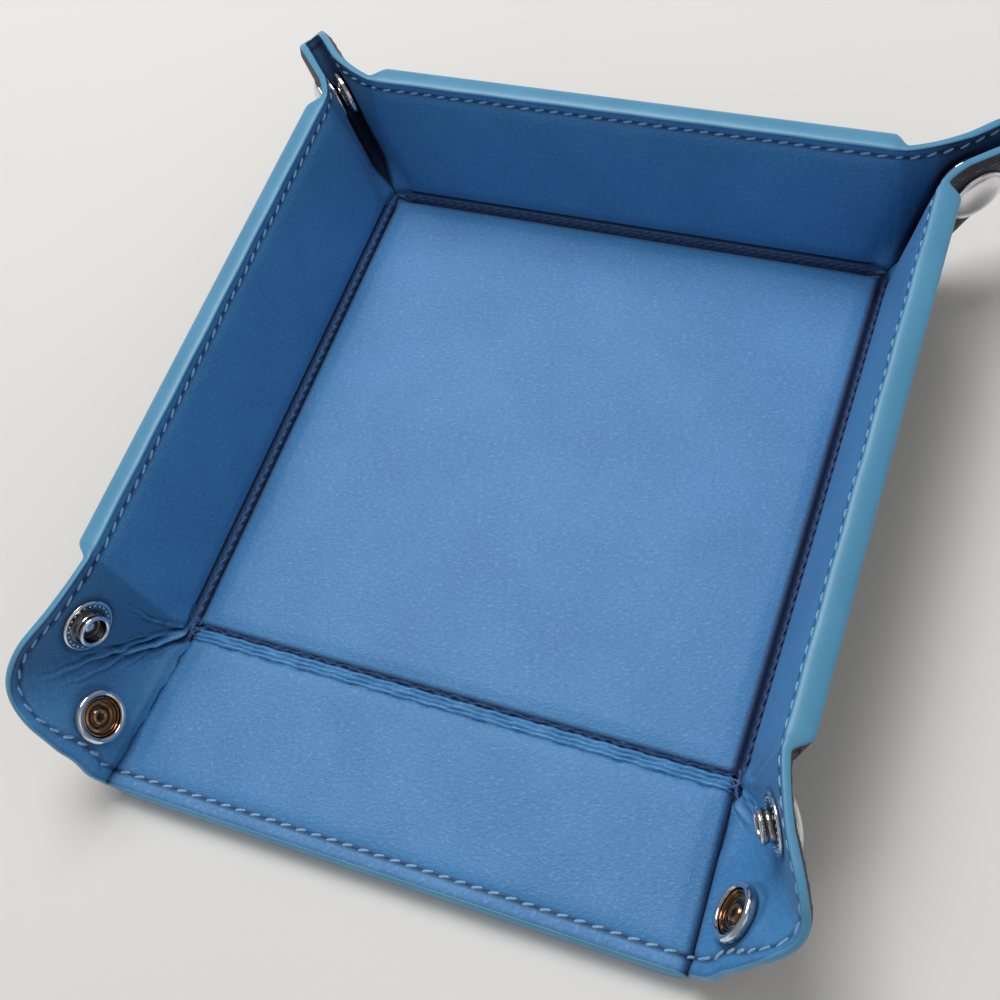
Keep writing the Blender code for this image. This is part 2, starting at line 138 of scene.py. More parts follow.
def turned(points: Array, anchor: Array, axis: Array, angle: Array) -> Array:
    """Turn points about an axis through an anchor.

    Formula: r cos a + (k x r) sin a + k (k.r)(1 - cos a), with r taken from the anchor.

    Args:
        points: Any shape, with x, y, z last.
        anchor: A point on the axis.
        axis: Unit direction of the axis.
        angle: Radians, one for each point or one for all.

    Returns:
        The turned points.
    """
    rel = points - anchor
    angle = np.broadcast_to(angle, rel.shape[:-1])[..., None]
    dot = (rel @ axis)[..., None]
    cross = np.cross(np.broadcast_to(axis, rel.shape), rel)
    return anchor + rel * np.cos(angle) + cross * np.sin(angle) + axis * dot * (1.0 - np.cos(angle))


def raised(plan: Array, height: Array | float) -> Array:
    """Give plan spots a height: one for each, or one for all."""
    return np.concatenate([plan, np.broadcast_to(height, plan.shape[:-1])[..., None]], axis=-1)


def to_corner(end: int, plan: Array) -> Array:
    """Carry spots of a wall's flat frame to the (q, p) of the corner at one of its ends."""
    return np.stack([end * plan[..., 0] - HALF, plan[..., 1]], axis=-1)


def to_wall(end: int, spots: Array) -> Array:
    """Carry a corner's (q, p) to the flat frame of the wall whose end it is at."""
    return np.stack([end * (HALF + spots[..., 0]), spots[..., 1]], axis=-1)


def past_diagonal(q: Array, p: Array) -> Array:
    """Return how far a corner's spots lie past the middle between its two walls."""
    return (q - p) * SQRT_HALF


@dataclass(frozen=True)
class Line:
    """A line of a corner's flat pattern, in (q, p): q past the wall's end, p up its side edge."""

    origin: tuple[float, float]
    slant: float

    def along(self) -> Array:
        """Return the line's direction."""
        return np.array([math.sin(self.slant), math.cos(self.slant)])

    def across(self) -> Array:
        """Return the direction square to the line, outwards."""
        return np.array([math.cos(self.slant), -math.sin(self.slant)])

    def distance(self, spots: Array) -> Array:
        """Return how far spots lie outwards of the line."""
        return (spots - np.array(self.origin)) @ self.across()

    def moved(self, out: float | Array) -> Array:
        """Return the line's origin moved outwards, for one or more distances."""
        return np.array(self.origin) + np.asarray(out)[..., None] * self.across()


def by_corner(slant: float, out: float) -> Line:
    """Return the line of a slant that passes so far outwards of the base's corner."""
    return Line((out * math.cos(slant), -out * math.sin(slant)), slant)


@dataclass(frozen=True)
class Ear:
    """The fold lines where two standing walls meet, worked out from how far each one leans."""

    own_lean: float
    other_lean: float

    def solve(self) -> tuple[float, float, float, float]:
        """Return the fold's slant, its bend, the diagonal's slant and how far back the fold is.

        The two walls' planes meet along (1/tan own, 1/tan other, 1). The slant is that line's in
        the wall, the bend is half the angle between what lies past it on both walls.

        Returns:
            Three angles in radians and a distance.
        """
        own, other = math.radians(self.own_lean), math.radians(self.other_lean)
        meet = np.array([1 / math.tan(own), 1 / math.tan(other), 1.0])
        meet /= np.linalg.norm(meet)
        slant = math.atan2(meet[1], meet @ [math.cos(own), 0.0, math.sin(own)])
        far = math.atan2(meet[0], meet @ [0.0, math.cos(other), math.sin(other)])
        past = np.array([0.0, 1.0, 0.0]) - meet * meet[1]
        beyond = np.array([1.0, 0.0, 0.0]) - meet * meet[0]
        cosine = past @ beyond / np.linalg.norm(past) / np.linalg.norm(beyond)
        bend = math.acos(cosine) / 2
        back = (EAR_GAP / 2 + THIN / 2 * (1 - math.cos(bend))) / math.sin(bend)
        return slant, bend, math.pi / 4 + (slant - far) / 2, back

    def fold(self, out: float = 0.0) -> Line:
        """Return the fold at the wall, moved outwards."""
        slant, _, _, back = self.solve()
        return by_corner(slant, out - back)

    def diagonal(self, out: float = 0.0) -> Line:
        """Return the diagonal fold, moved outwards."""
        return by_corner(self.solve()[2], out)

    def bend(self) -> float:
        """Return the bend at the fold of a closed ear, in degrees."""
        return math.degrees(self.solve()[1])


REAR_SIDE = Ear(SIDE_LEAN, REAR_LEAN)
REAR_REAR = Ear(REAR_LEAN, SIDE_LEAN)
FRONT_SIDE = Ear(SIDE_LEAN, SIDE_LEAN)


@dataclass(frozen=True)
class Fold:
    """One bend of the flat pattern: its axis, and the run over which the leather turns.

    The turn eases in between two distances, before and after, from the line that it reads.
    """

    end: int
    axis: Line
    reads: Line
    height: float
    degrees: float
    before: float
    after: float

    def share(self, plan: Array) -> Array:
        """Return how much of the bend each plan spot has, easing from before to after."""
        past = self.reads.distance(to_corner(self.end, plan))
        return smooth((past - self.before) / (self.after - self.before))

    def swung(self, points: Array, share: Array | float = 1.0) -> Array:
        """Turn points about the axis by a share of the bend."""
        q, p = self.axis.origin
        along = self.axis.along()
        anchor = np.array([self.end * (HALF + q), p, self.height])
        axis = np.array([self.end * along[0], along[1], 0.0])
        return turned(points, anchor, axis, self.end * math.radians(self.degrees) * share)

    def turn(self, points: Array, plan: Array) -> Array:
        """Turn the points by their own share of the bend."""
        return self.swung(points, self.share(plan))


@dataclass(frozen=True)
class SweptFold(Fold):
    """A bend that starts at the board's end and swings out to the leaf's plane in a curve.

    It starts at before ahead of the fold, or at the latest start if that comes first. It stops past
    the fold by after times as much, and by wider times more at the rim.
    """

    latest: float = -0.5
    wider: float = 0.85
    wider_from: float = 31.0

    def reach(self, p: Array) -> tuple[Array, Array, Array]:
        """Return q where the bend starts, at the fold itself and where the leaf is flat again."""
        q0, p0 = self.reads.origin
        middle = q0 + (p - p0) * math.tan(self.reads.slant)
        start = np.minimum(self.latest, middle - self.before)
        rim = smooth((p - self.wider_from) / (WALL_H - self.wider_from))
        return start, middle, middle + (self.after + self.wider * rim) * (middle - start)

    def share(self, plan: Array) -> Array:
        """Return how much of the bend each plan spot has."""
        start, _, stop = self.reach(plan[..., 1])
        return smooth((self.end * plan[..., 0] - HALF - start) / (stop - start))

    def turn(self, points: Array, plan: Array) -> Array:
        """Carry the points onto a curve from the wall to the leaf.

        Formula: (1 - t) squared A + 2 t (1 - t) M + t squared B, where t runs from the bend's start
        to its stop, A and B are the point moved there on the wall and on the turned leaf, and M is
        halfway between the fold and the middle of A and B.

        Args:
            points: Points of the pattern.
            plan: Where their place is read.

        Returns:
            The carried points.
        """
        start, middle, stop = self.reach(plan[..., 1])
        q = np.clip(self.end * plan[..., 0] - HALF, start, stop)
        t = ((q - start) / (stop - start))[..., None]
        out = np.array([float(self.end), 0.0, 0.0])
        wall, fold, leaf = (points + (at - q)[..., None] * out for at in (start, middle, stop))
        leaf = self.swung(leaf)
        control = 0.25 * (fold + self.swung(fold)) + 0.25 * (wall + leaf)
        return (1 - t) ** 2 * wall + 2 * t * (1 - t) * control + t * t * leaf


@dataclass(frozen=True)
class Chart:
    """The way from one wall's flat pattern to its place in the tray."""

    yaw: float
    lean: float
    folds: tuple[Fold, ...] = ()
    tuck_reach: float = 12.0
    joins: Seam | None = None
    drawn: float = 0.0

    def bent(self, flat: Array, plan: Array) -> Array:
        """Bend a pattern over its folds, the outermost first."""
        points = flat
        for fold in self.folds:
            points = fold.turn(points, plan)
        return points

    def tucked(self, points: Array, plan: Array) -> Array:
        """Draw a corner's leather in towards the base's corner, so the ear closes there.

        Formula: add the way from the bent corner to the true one, times the wall fold's share,
        times 1 - ease(r / reach), where r is the distance from the corner.

        Args:
            points: Bent points of the pattern.
            plan: Where their shares are read.

        Returns:
            The points, drawn in.
        """
        for end in (-1, 1):
            own = [fold for fold in self.folds if fold.end == end]
            if not own:
                continue
            corner = np.array([[end * HALF, 0.0, 0.0]])
            gap = (corner - self.bent(corner, corner[:, :2]))[0]
            r = np.hypot(end * plan[..., 0] - HALF, plan[..., 1])
            share = own[-1].share(plan) * (1.0 - smooth(r / self.tuck_reach))
            points = points + share[..., None] * gap
        return points

    def creased(self, plan: Array) -> Array:
        """Return the share of the wall's lean: an even bend over the band, sharp at its ends."""
        q = np.abs(plan[..., 0]) - HALF
        even = smooth((plan[..., 1] + BAND) / (2 * BAND))
        sharp = (plan[..., 1] >= 0.0).astype(float)
        mix = smooth((q + SHARP_FROM) / SHARP_RUN) if self.folds else 0.0
        return even + (sharp - even) * mix

    def stretch(self, out: Array) -> Array:
        """Return how far leather at a height is drawn out, a good part of it past the seam."""
        return self.drawn * (smooth(out / WALL_H) + 0.8 * smooth((out - (WALL_H - LIP)) / LIP))

    def place(self, flat: Array, at: Array | None = None) -> Array:
        """Carry points of the pattern to the tray, its rim drawn out a little.

        Args:
            flat: Points (x, y, z) of the pattern.
            at: Where the folds' shares are read, or None for each point's own x and y.

        Returns:
            The places in the tray, in millimetres.
        """
        plan = flat[..., :2] if at is None else np.broadcast_to(at, flat.shape[:-1] + (2,))
        flat = flat + self.stretch(plan[..., 1])[..., None] * np.array([0.0, 1.0, 0.0])
        points = self.tucked(self.bent(flat, plan), plan)
        lean = math.radians(self.lean) * self.creased(plan)
        points = turned(points, np.zeros(3), np.array([1.0, 0.0, 0.0]), lean)
        points = spun(points + np.array([0.0, HALF, PANEL]), self.yaw)
        return points if self.joins is None else points + self.joins.shift(plan)

    def pattern(self, plan: Array) -> Array:
        """Return the place of plan spots on the whole tray's flat pattern, for the grain."""
        return spun(raised(plan, 0.0) + np.array([0.0, HALF, 0.0]), self.yaw)[..., :2]


def spun(points: Array, yaw: float) -> Array:
    """Turn points about the vertical through the tray's middle, by degrees."""
    angle = np.full(points.shape[:-1], math.radians(yaw))
    return turned(points, np.zeros(3), np.array([0.0, 0.0, 1.0]), angle)


@dataclass(frozen=True)
class Seam:
    """Where an open corner's leather runs into the front wall's end.

    The seam closes over the reach, up from the leather's edge. What the front wall's rim is drawn
    out eases over the wider sag. Both grow over the run past the diagonal. The seam lies off the
    wall's end, and the pull spares the socket: a radius round it, and a margin that eases out.
    """

    side: Chart
    front: Chart
    end: int
    socket: tuple[float, float]
    reach: float = 6.5
    sag: float = 34.0
    run: float = 2.5
    off: float = 0.3
    spared: float = 6.5
    margin: float = 4.5

    def shift(self, plan: Array) -> Array:
        """Return what closes the seam: the way across it, and the pull of the front wall's rim.

        Formula: share times way, plus (wide - share) times clear times pull, where share and wide
        ease from 1 at the edge to 0 at the reach and the sag, and clear is 0 at the socket.

        Args:
            plan: Spots of the wall's flat frame.

        Returns:
            One move for each spot.
        """
        q, p = self.end * plan[..., 0] - HALF, plan[..., 1]
        spot = np.clip(q, 0.0, WALL_H)
        edge = to_wall(self.end, np.stack([spot, np.zeros_like(spot)], axis=-1))
        far = np.stack([-self.end * (front_end(spot, -self.end) + self.off), spot], axis=-1)
        way = self.front.place(raised(far, -THIN / 2)) - self.side.place(raised(edge, -THIN / 2))
        grown = smooth(past_diagonal(q, p) / self.run)
        share, wide = ((1.0 - smooth(p / reach)) * grown for reach in (self.reach, self.sag))
        pull = self.front.stretch(spot)[..., None] * np.array([0.0, 1.0, 0.0])
        away = np.hypot(q - self.socket[0], p - self.socket[1])
        clear = smooth((away - self.spared) / self.margin)
        eased_pull = spun(pull, self.front.yaw) * ((wide - share) * clear)[..., None]
        return way * share[..., None] + eased_pull


def rear_fold(ear: Ear, end: int) -> tuple[Fold, ...]:
    """Return the one fold of a snapped rear corner."""
    line = ear.fold()
    return (SweptFold(end, line, line, -THIN / 2, ear.bend(), before=4.0, after=0.75),)


def front_folds(end: int, bend: float, curl: float) -> tuple[Fold, ...]:
    """Return an open front corner's folds: the curl at its diagonal, then the bend at the wall.

    Args:
        end: The wall's end, -1 or 1.
        bend: The bend at the wall, in degrees.
        curl: The curl at the diagonal.

    Returns:
        The two folds.
    """
    line, axis = FRONT_SIDE.fold(), FRONT_SIDE.diagonal(-CURL_STRIP / 2)
    lift = (EAR_GAP - CURL_STRIP * math.sin(math.radians(curl))) / 2
    return (Fold(end, axis, FRONT_SIDE.diagonal(), lift, -curl, before=-4.0, after=11.0),
            SweptFold(end, line, line, -THIN / 2, bend, before=3.5, after=0.75))


FRONT = Chart(180.0, 0.0, drawn=2.0)
REAR = Chart(0.0, REAR_LEAN, rear_fold(REAR_REAR, -1) + rear_fold(REAR_REAR, 1))


def front_end(y: Array, end: int) -> Array:
    """Return how far out an end of the front wall lies at heights y: it flares towards its rim."""
    return FRONT_END + FLARE[end] * np.maximum(y, 0.0)


class Side(Enum):
    """The two sides of the tray."""

    LEFT = "left"
    RIGHT = "right"


@dataclass(frozen=True)
class OpenCorner:
    """How an unsnapped front corner rests: bent at the side wall and curled at its diagonal.

    The groove of its seam has a width and a share of waviness. A wrinkle runs out from the base's
    corner: its angle in degrees from the wall's end, its reach, its depth and its width.
    """

    side: Side
    bend: float
    curl: float
    seam_width: float
    seam_wave: float
    wrinkles: tuple[tuple[float, float, float, float], ...]

    def front_end(self) -> int:
        """Return the end of the side wall that lies at the front."""
        return -1 if self.side is Side.LEFT else 1

    def chart(self) -> Chart:
        """Return the side wall's chart, both of its corners included."""
        end = self.front_end()
        yaw = -90.0 * end
        folds = front_folds(end, self.bend, self.curl) + rear_fold(REAR_SIDE, -end)
        seam = Seam(Chart(yaw, SIDE_LEAN, folds), FRONT, end, self.socket_spot())
        return Chart(yaw, SIDE_LEAN, folds, joins=seam)

    def socket_spot(self) -> tuple[float, float]:
        """Return the socket's (q, p), square over its stud once the corner is closed."""
        along = (SNAP_OUT + SNAP_UP) * SQRT_HALF
        past = (SNAP_UP - SNAP_OUT) * SQRT_HALF + CURL_STRIP * math.cos(math.radians(self.curl))
        return (along + past) * SQRT_HALF, (along - past) * SQRT_HALF


CORNERS = (
    OpenCorner(Side.LEFT, bend=20.0, curl=28.0, seam_width=0.26, seam_wave=1.0, wrinkles=(
        (41.0, 34.0, 0.95, 0.75), (45.0, 48.0, 1.15, 0.90), (49.5, 40.0, 1.00, 0.80),
        (54.0, 26.0, 0.50, 0.70), (12.0, 28.0, 0.40, 0.60), (17.0, 24.0, 0.35, 0.60),
        (36.5, 22.0, 0.40, 0.60), (58.5, 18.0, 0.30, 0.60))),
    OpenCorner(Side.RIGHT, bend=28.0, curl=39.0, seam_width=0.95, seam_wave=0.0, wrinkles=(
        (38.0, 30.0, 0.35, 0.90), (47.0, 24.0, 0.45, 0.90), (62.0, 12.0, 0.50, 0.60))))


def rim_inset(q: Array, p: Array) -> Array:
    """Return how far inside the rim a corner's spot lies.

    Formula: R - length(max(q - c, 0), max(p - c, 0)), the distance from a rounded square's edge.
    """
    return ROUND - np.hypot(np.maximum(q - ROUND_AT, 0.0), np.maximum(p - ROUND_AT, 0.0))


def skive(inset: Array) -> Array:
    """Return the share of a thin edge's thickness left, pared down towards the rim."""
    return 1.0 - SKIVED * smooth(1.0 - inset / SKIVE_RUN)


def seam_groove(inset: Array) -> Array:
    """Return the hollow that the rim's stitches draw in, and the low swell outside it."""
    return -0.28 * bell(inset - THREAD_IN, 0.75) + 0.10 * bell(inset - 1.2, 0.7)


def over_base_board(out: Array) -> Array:
    """Return how much a place that far from the tray's middle is over the base's board."""
    return 1.0 - smooth((out - BOARD_END) / BOARD_EASE)


@dataclass(frozen=True)
class WallForm:
    """The heights and shading of one wall's leathers, over its flat pattern."""

    chart: Chart
    ears: tuple[Ear | None, Ear | None]
    corner: OpenCorner | None = None
    snaps: tuple[tuple[int, float, float], ...] = ()
    crown: float = 0.5

    def local(self, plan: Array) -> tuple[Array, Array, Array]:
        """Return q, p and the distance past the wall's fold, each for the nearer end.

        Args:
            plan: Spots of the wall's flat frame.

        Returns:
            Three arrays of distances.
        """
        q = np.abs(plan[..., 0]) - HALF
        p = plan[..., 1]
        spots = np.stack([q, p], axis=-1)
        folds = [q + HALF - front_end(p, end) if ear is None else ear.fold().distance(spots)
                 for ear, end in zip(self.ears, (-1, 1))]
        return q, p, np.where(plan[..., 0] < 0, folds[0], folds[1])

    def beyond(self, plan: Array) -> Array:
        """Return how far a spot lies past the board's end, by the fold or by the wall's end."""
        q, _, fold = self.local(plan)
        return np.maximum(fold + 2.6, q + 1.8)

    def board(self, plan: Array) -> Array:
        """Return how much a spot is over the board, easing off past its ends and foot."""
        p = plan[..., 1]
        ends = 1.0 - smooth((self.beyond(plan) + 1.4) / 5.0)
        foot = smooth((p - 1.2) / 1.4)
        return np.where(p > 0, ends * foot, over_base_board(HALF + p))

    def under(self, plan: Array) -> Array:
        """Return the cover's outer face: down over the board, thin where there is none."""
        board = self.board(plan)
        return -THIN * (skive(self.inset(plan)) * (1.0 - board) + board) - (PANEL - THIN) * board

    def inset(self, plan: Array) -> Array:
        """Return how far a spot lies inside the rim."""
        q, p, _ = self.local(plan)
        return WALL_H - p if self.is_front() else rim_inset(q, p)

    def is_front(self) -> bool:
        """Return whether this is the front wall, which lies flat and has no ears."""
        return self.ears[0] is None

    def wander(self, plan: Array, scale: float) -> Array:
        """Return a slow irregular wave along the crease, the sum of three sines."""
        x = plan[..., 0] * scale
        return np.sin(x) * 0.5 + np.sin(2.31 * x + 1.3) * 0.3 + np.sin(5.17 * x + 0.4) * 0.2

    def crease(self, plan: Array) -> tuple[Array, Array]:
        """Return the height of the crease band's grooves and wrinkles, and their painted shade and
        highlight.

        Args:
            plan: Spots of the wall's flat frame.

        Returns:
            Heights in millimetres, and painted shade, below 0 for painted highlight.
        """
        y = plan[..., 1]
        if self.is_front():
            shifted = y + 0.22 * self.wander(plan, 0.9)
            deep = bell(shifted + 1.75, 0.62)
            thin = bell(shifted - 2.15, 0.26) * (0.65 + 0.35 * self.wander(plan, 0.55))
            ridge = bell(shifted + 0.1, 0.24) * (0.5 + 0.5 * self.wander(plan, 0.37))
            late = bell(shifted - 1.05, 0.2) * (0.5 - 0.5 * self.wander(plan, 0.45))
            crest = (bell(shifted + 0.75, 0.30) + bell(shifted - 0.5, 0.26)
                     + 0.8 * bell(shifted - 1.6, 0.22))
            height = 0.24 * crest - deep - 0.5 * thin - 0.42 * ridge - 0.34 * late
            # Painted shade in the front crease's grooves, and painted highlight (below 0) on its
            # crests.
            return height, deep + 0.6 * thin + 0.5 * ridge + 0.42 * late - 0.70 * crest
        groove = bell(np.abs(y) - 1.45, 0.5)
        fade = smooth((HALF + 1.2 - np.abs(plan[..., 0])) / 2.4)
        # Painted shade along the crease's grooves.
        dark = bell(np.abs(y) - 1.3, 0.62)
        if self.corner is not None and self.corner.side is Side.RIGHT:
            # Painted shade, wider, on the base's side of the right crease.
            dark = np.maximum(dark, 0.95 * smooth((0.9 - y) / 0.8))
        return -0.75 * groove * fade, dark * fade

    def folds_seen(self, plan: Array) -> tuple[Array, Array]:
        """Return the height of what the open corner's leather shows, and its painted shade and
        highlight.

        Each wrinkle (angle, reach, depth, width) is a soft ridge between two grooves that runs out
        from the base's corner. A groove follows the front wall's end.

        Args:
            plan: Spots of the wall's flat frame.

        Returns:
            Heights in millimetres, and painted shade, below 0 for painted highlight.
        """
        if self.corner is None:
            return np.zeros(plan.shape[:-1]), np.zeros(plan.shape[:-1])
        q = self.corner.front_end() * plan[..., 0] - HALF
        p = plan[..., 1]
        r = np.hypot(q, p)
        angle = np.degrees(np.arctan2(q, np.maximum(p, 1e-6)))
        height, dark = np.zeros_like(r), np.zeros_like(r)
        for index, (at, reach, depth, width) in enumerate(self.corner.wrinkles):
            sway = 0.55 * np.sin(r * 0.23 + index * 2.1) + 0.16 * np.sin(r * 0.9 + index * 1.3)
            off = (np.radians(angle - at) * r + sway * smooth(r / 12.0)) / width
            run = depth * smooth(r / 4.0) * (1.0 - smooth((r - reach * 0.45) / (reach * 0.55)))
            grooves = bell(off - 1.15, 0.42) + 0.85 * bell(off + 1.05, 0.36)
            height += run * (0.85 * bell(off, 0.60) - 0.55 * grooves)
            # Painted shade in each wrinkle's grooves, painted highlight (below 0) on its ridge.
            dark += run * (0.52 * grooves - 0.75 * bell(off, 0.45))
        gate = smooth((q + 0.5) / 2.0)
        wave = 0.35 * np.sin(q * 0.61) + 0.2 * np.sin(q * 1.37 + 1.0)
        side = bell(p - 0.15 + wave * self.corner.seam_wave, self.corner.seam_width) * gate
        height -= 1.3 * self.corner.seam_width * side - 0.35 * bell(p - 2.6, 0.9) * gate
        # Painted shadow in the seam's groove along the front wall's end.
        dark += 0.7 * side + 0.25 * bell(p, 3.0 * self.corner.seam_width) * gate
        return height, dark

    def dimples(self, plan: Array) -> Array:
        """Return the ring that each snap presses into the leather."""
        q, p, _ = self.local(plan)
        ring = np.zeros(plan.shape[:-1])
        for end, out, up in self.snaps:
            pressed = bell(np.hypot(q - out, p - up) - SNAP_RING, 0.8)
            ring += pressed * (np.sign(plan[..., 0]) == end)
        return ring

    def top(self, plan: Array) -> Array:
        """Return the lining's face: crowned over the board, grooved at seams and folds.

        Args:
            plan: Spots of the wall's flat frame.

        Returns:
            Heights in millimetres.
        """
        q, p, fold = self.local(plan)
        crown = smooth((p - 2.0) / 3.5) * smooth((WALL_H - 1.5 - p) / 5.0)
        crown *= smooth((0.6 - self.beyond(plan)) / 4.0)
        crease, _ = self.crease(plan)
        seen, _ = self.folds_seen(plan)
        height = self.crown * crown + crease + seen + seam_groove(self.inset(plan))
        height -= 0.18 * self.dimples(plan)
        swell = 0.10 * np.sin(0.31 * plan[..., 0] + 0.5) * np.sin(0.27 * p + 1.0)
        height += swell * smooth((p - 4) / 6)
        if self.is_front():
            height -= 1.1 * bell(fold, 0.9)
        else:
            height -= 0.34 * bell(np.minimum(q + 0.5, 4.0), 0.9) * smooth((p - 5.0) / 4.0)
        return height

    def dark(self, plan: Array) -> Array:
        """Return the lining's painted shade in grooves, at seams and round snaps; below 0, painted
        highlight on crests.

        Args:
            plan: Spots of the wall's flat frame.

        Returns:
            Painted shade from -1 to 1, painted highlight below 0.
        """
        _, crease = self.crease(plan)
        _, seen = self.folds_seen(plan)
        inset = self.inset(plan)
        # Painted shade in the seam's groove under the stitches and in the rings that the snaps
        # press.
        dark = crease + seen + 0.88 * bell(inset - THREAD_IN, 0.52) + 0.35 * self.dimples(plan)
        dark += 0.45 * bell(inset - RIM_IN, 0.35)
        if self.is_front():
            _, _, fold = self.local(plan)
            off = fold - 0.1
            # Painted shadow in the groove at the front wall's ends, with a wide soft painted shadow
            # at the right end.
            left = bell(off, 0.30)
            right = 0.95 * bell(off, 0.75) + 0.35 * bell(off, 2.4)
            dark += np.where(plan[..., 0] > 0, 0.6 * left, right)
        return np.clip(dark + self.closed_in(plan), -1.0, 1.0)

    def closed_in(self, plan: Array) -> Array:
        """Return the deep shade inside a snapped ear and on the wall's leather just before it.

        Args:
            plan: Spots of the wall's flat frame.

        Returns:
            Darks, not yet held.
        """
        q, p, fold = self.local(plan)
        closed = [ear is not None and ear != FRONT_SIDE for ear in self.ears]
        own = np.where(plan[..., 0] < 0, float(closed[0]), float(closed[1]))
        lee = self.corner is not None and self.corner.side is Side.LEFT
        past = past_diagonal(q, p)
        # Painted shade on an open corner's leaf where it turns away from the lamp.
        turned_away = smooth((q + 0.9) / 1.8) * smooth((p - 1.0) / 3.0)
        turned_away *= 1.0 - smooth((past + 3.0) / 5.0)
        deep = 0.74 - 0.34 * smooth((p - 12.0) / 20.0)
        inner = deep * smooth((fold - 1.6) / 4.5) + 0.26 * smooth((q + 0.9) / 1.6)
        inner += 0.06 * smooth((fold + 9.0) / 9.0)
        # Painted light on the left corner's leaf past its diagonal.
        lit = 0.16 * smooth((past - 1.0) / 4.0) if lee else 0.0
        return own * inner + (1.0 - own) * ((0.36 if lee else 0.12) * turned_away - lit)

    def crumple(self, plan: Array) -> Array:
        """Return how wrinkled the lining is, most in the open corners and by the front crease."""
        q, p, fold = self.local(plan)
        if self.is_front():
            return np.clip(bell(p, 2.2) + 0.6 * bell(fold, 3.0), 0.0, 1.0)
        past = smooth((fold + 2.0) / 3.0)
        near = bell(past_diagonal(q, p), 6.0) + 0.7 * bell(p, 4.0) * smooth(q / 4.0)
        return np.clip(0.25 * past + past * near * 0.75, 0.0, 1.0)


@dataclass(frozen=True)
class BaseForm:
    """The heights and shading of the base's leathers, over x and y of the tray."""

    crown: float = 0.6

    def place(self, flat: Array) -> Array:
        """Return points of the base's pattern at their place in the tray."""
        return flat + np.array([0.0, 0.0, PANEL])

    def pattern(self, plan: Array) -> Array:
        """Return plan spots on the whole tray's flat pattern, where the base is as it lies."""
        return plan

    def reach(self, plan: Array) -> Array:
        """Return how far inside the crease bands a spot lies."""
        return HALF - BAND - np.max(np.abs(plan), axis=-1)

    def top(self, plan: Array) -> Array:
        """Return the lining's face, a low cushion with rounded shoulders.

        Formula: crown times the product over x and y of ease((half - |c|) / 5).
        """
        near = smooth((HALF - 2.0 - np.abs(plan)) / 5.0)
        waves = np.sin(0.11 * plan[..., 0] + 0.6) * np.sin(0.13 * plan[..., 1] + 0.2)
        cushion = self.crown * near[..., 0] * near[..., 1]
        swell = 0.12 * waves * near[..., 0] * near[..., 1]
        return cushion + swell - bell(-plan[..., 1] - HALF + 1.75, 0.5)

    def under(self, plan: Array) -> Array:
        """Return the cover's outer face: flat over the board, thin past it."""
        return -THIN - (PANEL - THIN) * over_base_board(np.max(np.abs(plan), axis=-1))

    def dark(self, plan: Array) -> Array:
        """Return the soft shade near the creases."""
        right = HALF - BAND - plan[..., 0]
        front = HALF - BAND + plan[..., 1]
        dark = 0.45 * bell(self.reach(plan), 0.6) + 0.85 * bell(right, 0.9) + 0.5 * bell(front, 0.8)
        return np.clip(dark, 0.0, 1.0)

    def crumple(self, plan: Array) -> Array:
        """Return no wrinkles: the base is taut."""
        return np.zeros(plan.shape[:-1])


@dataclass(frozen=True)
class Motion:
    """How a piece moves: with one body, or not at all, baked where it is built, when a second body
    is named.

    The second body shares a joint with the first; it and two places of the tray, start and end, in
    millimetres, are kept but move nothing.
    """

    body: str
    far: str | None = None
    start: Array | None = None
    end: Array | None = None

    def give(self, item: bpy.types.Object) -> None:
        """Attach a piece to its body, or bake it in place when a second body is named."""
        if self.far is None:
            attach(item, self.body)
            return
        tuple(self.start * MM)
        tuple(self.end * MM)
        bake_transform(item)


class Layer(Enum):
    """The layers that a zone of leather is made of, with their record slots."""

    LINING = "lining"
    COVER = "cover"
    EDGE = "edge"
    THREAD = "thread"

    def slot(self) -> str:
        """Return the record's material slot, where the painted edge counts as lining."""
        return {Layer.COVER: "cover_leather", Layer.THREAD: "thread"}.get(self, "lining_leather")


def skins(name: str) -> dict[Layer, tuple[str, ...]]:
    """Return the nodes that a zone's lining and cover stand for."""
    return {layer: (f"{name}_{layer.value}",) for layer in (Layer.LINING, Layer.COVER)}


@dataclass
class Zone:
    """A patch of the tray's leather that moves as one."""

    name: str
    form: Any
    chart: Any
    plan: Array
    motion: Motion
    replaces: dict[Layer, tuple[str, ...]] = field(default_factory=dict)
    rim: Array | None = None
    stitches: tuple[Array, Array] | None = None

    def faces(self) -> dict[Layer, tuple[Array, Array]]:
        """Return the upper and lower face of the lining and the cover, in the tray."""
        top, under = self.form.top(self.plan), self.form.under(self.plan)
        levels = {Layer.LINING: (top, top * 0.3 - LEATHER), Layer.COVER: (under + LEATHER, under)}
        return {layer: tuple(self.chart.place(raised(self.plan, level)) for level in pair)
                for layer, pair in levels.items()}

    def edge_ends(self) -> tuple[Array, Array]:
        """Return the upper and lower corner of the rim's edge, in the pattern."""
        row = self.plan[:, -1]
        return raised(row, self.form.top(row)), raised(row, self.form.under(row))


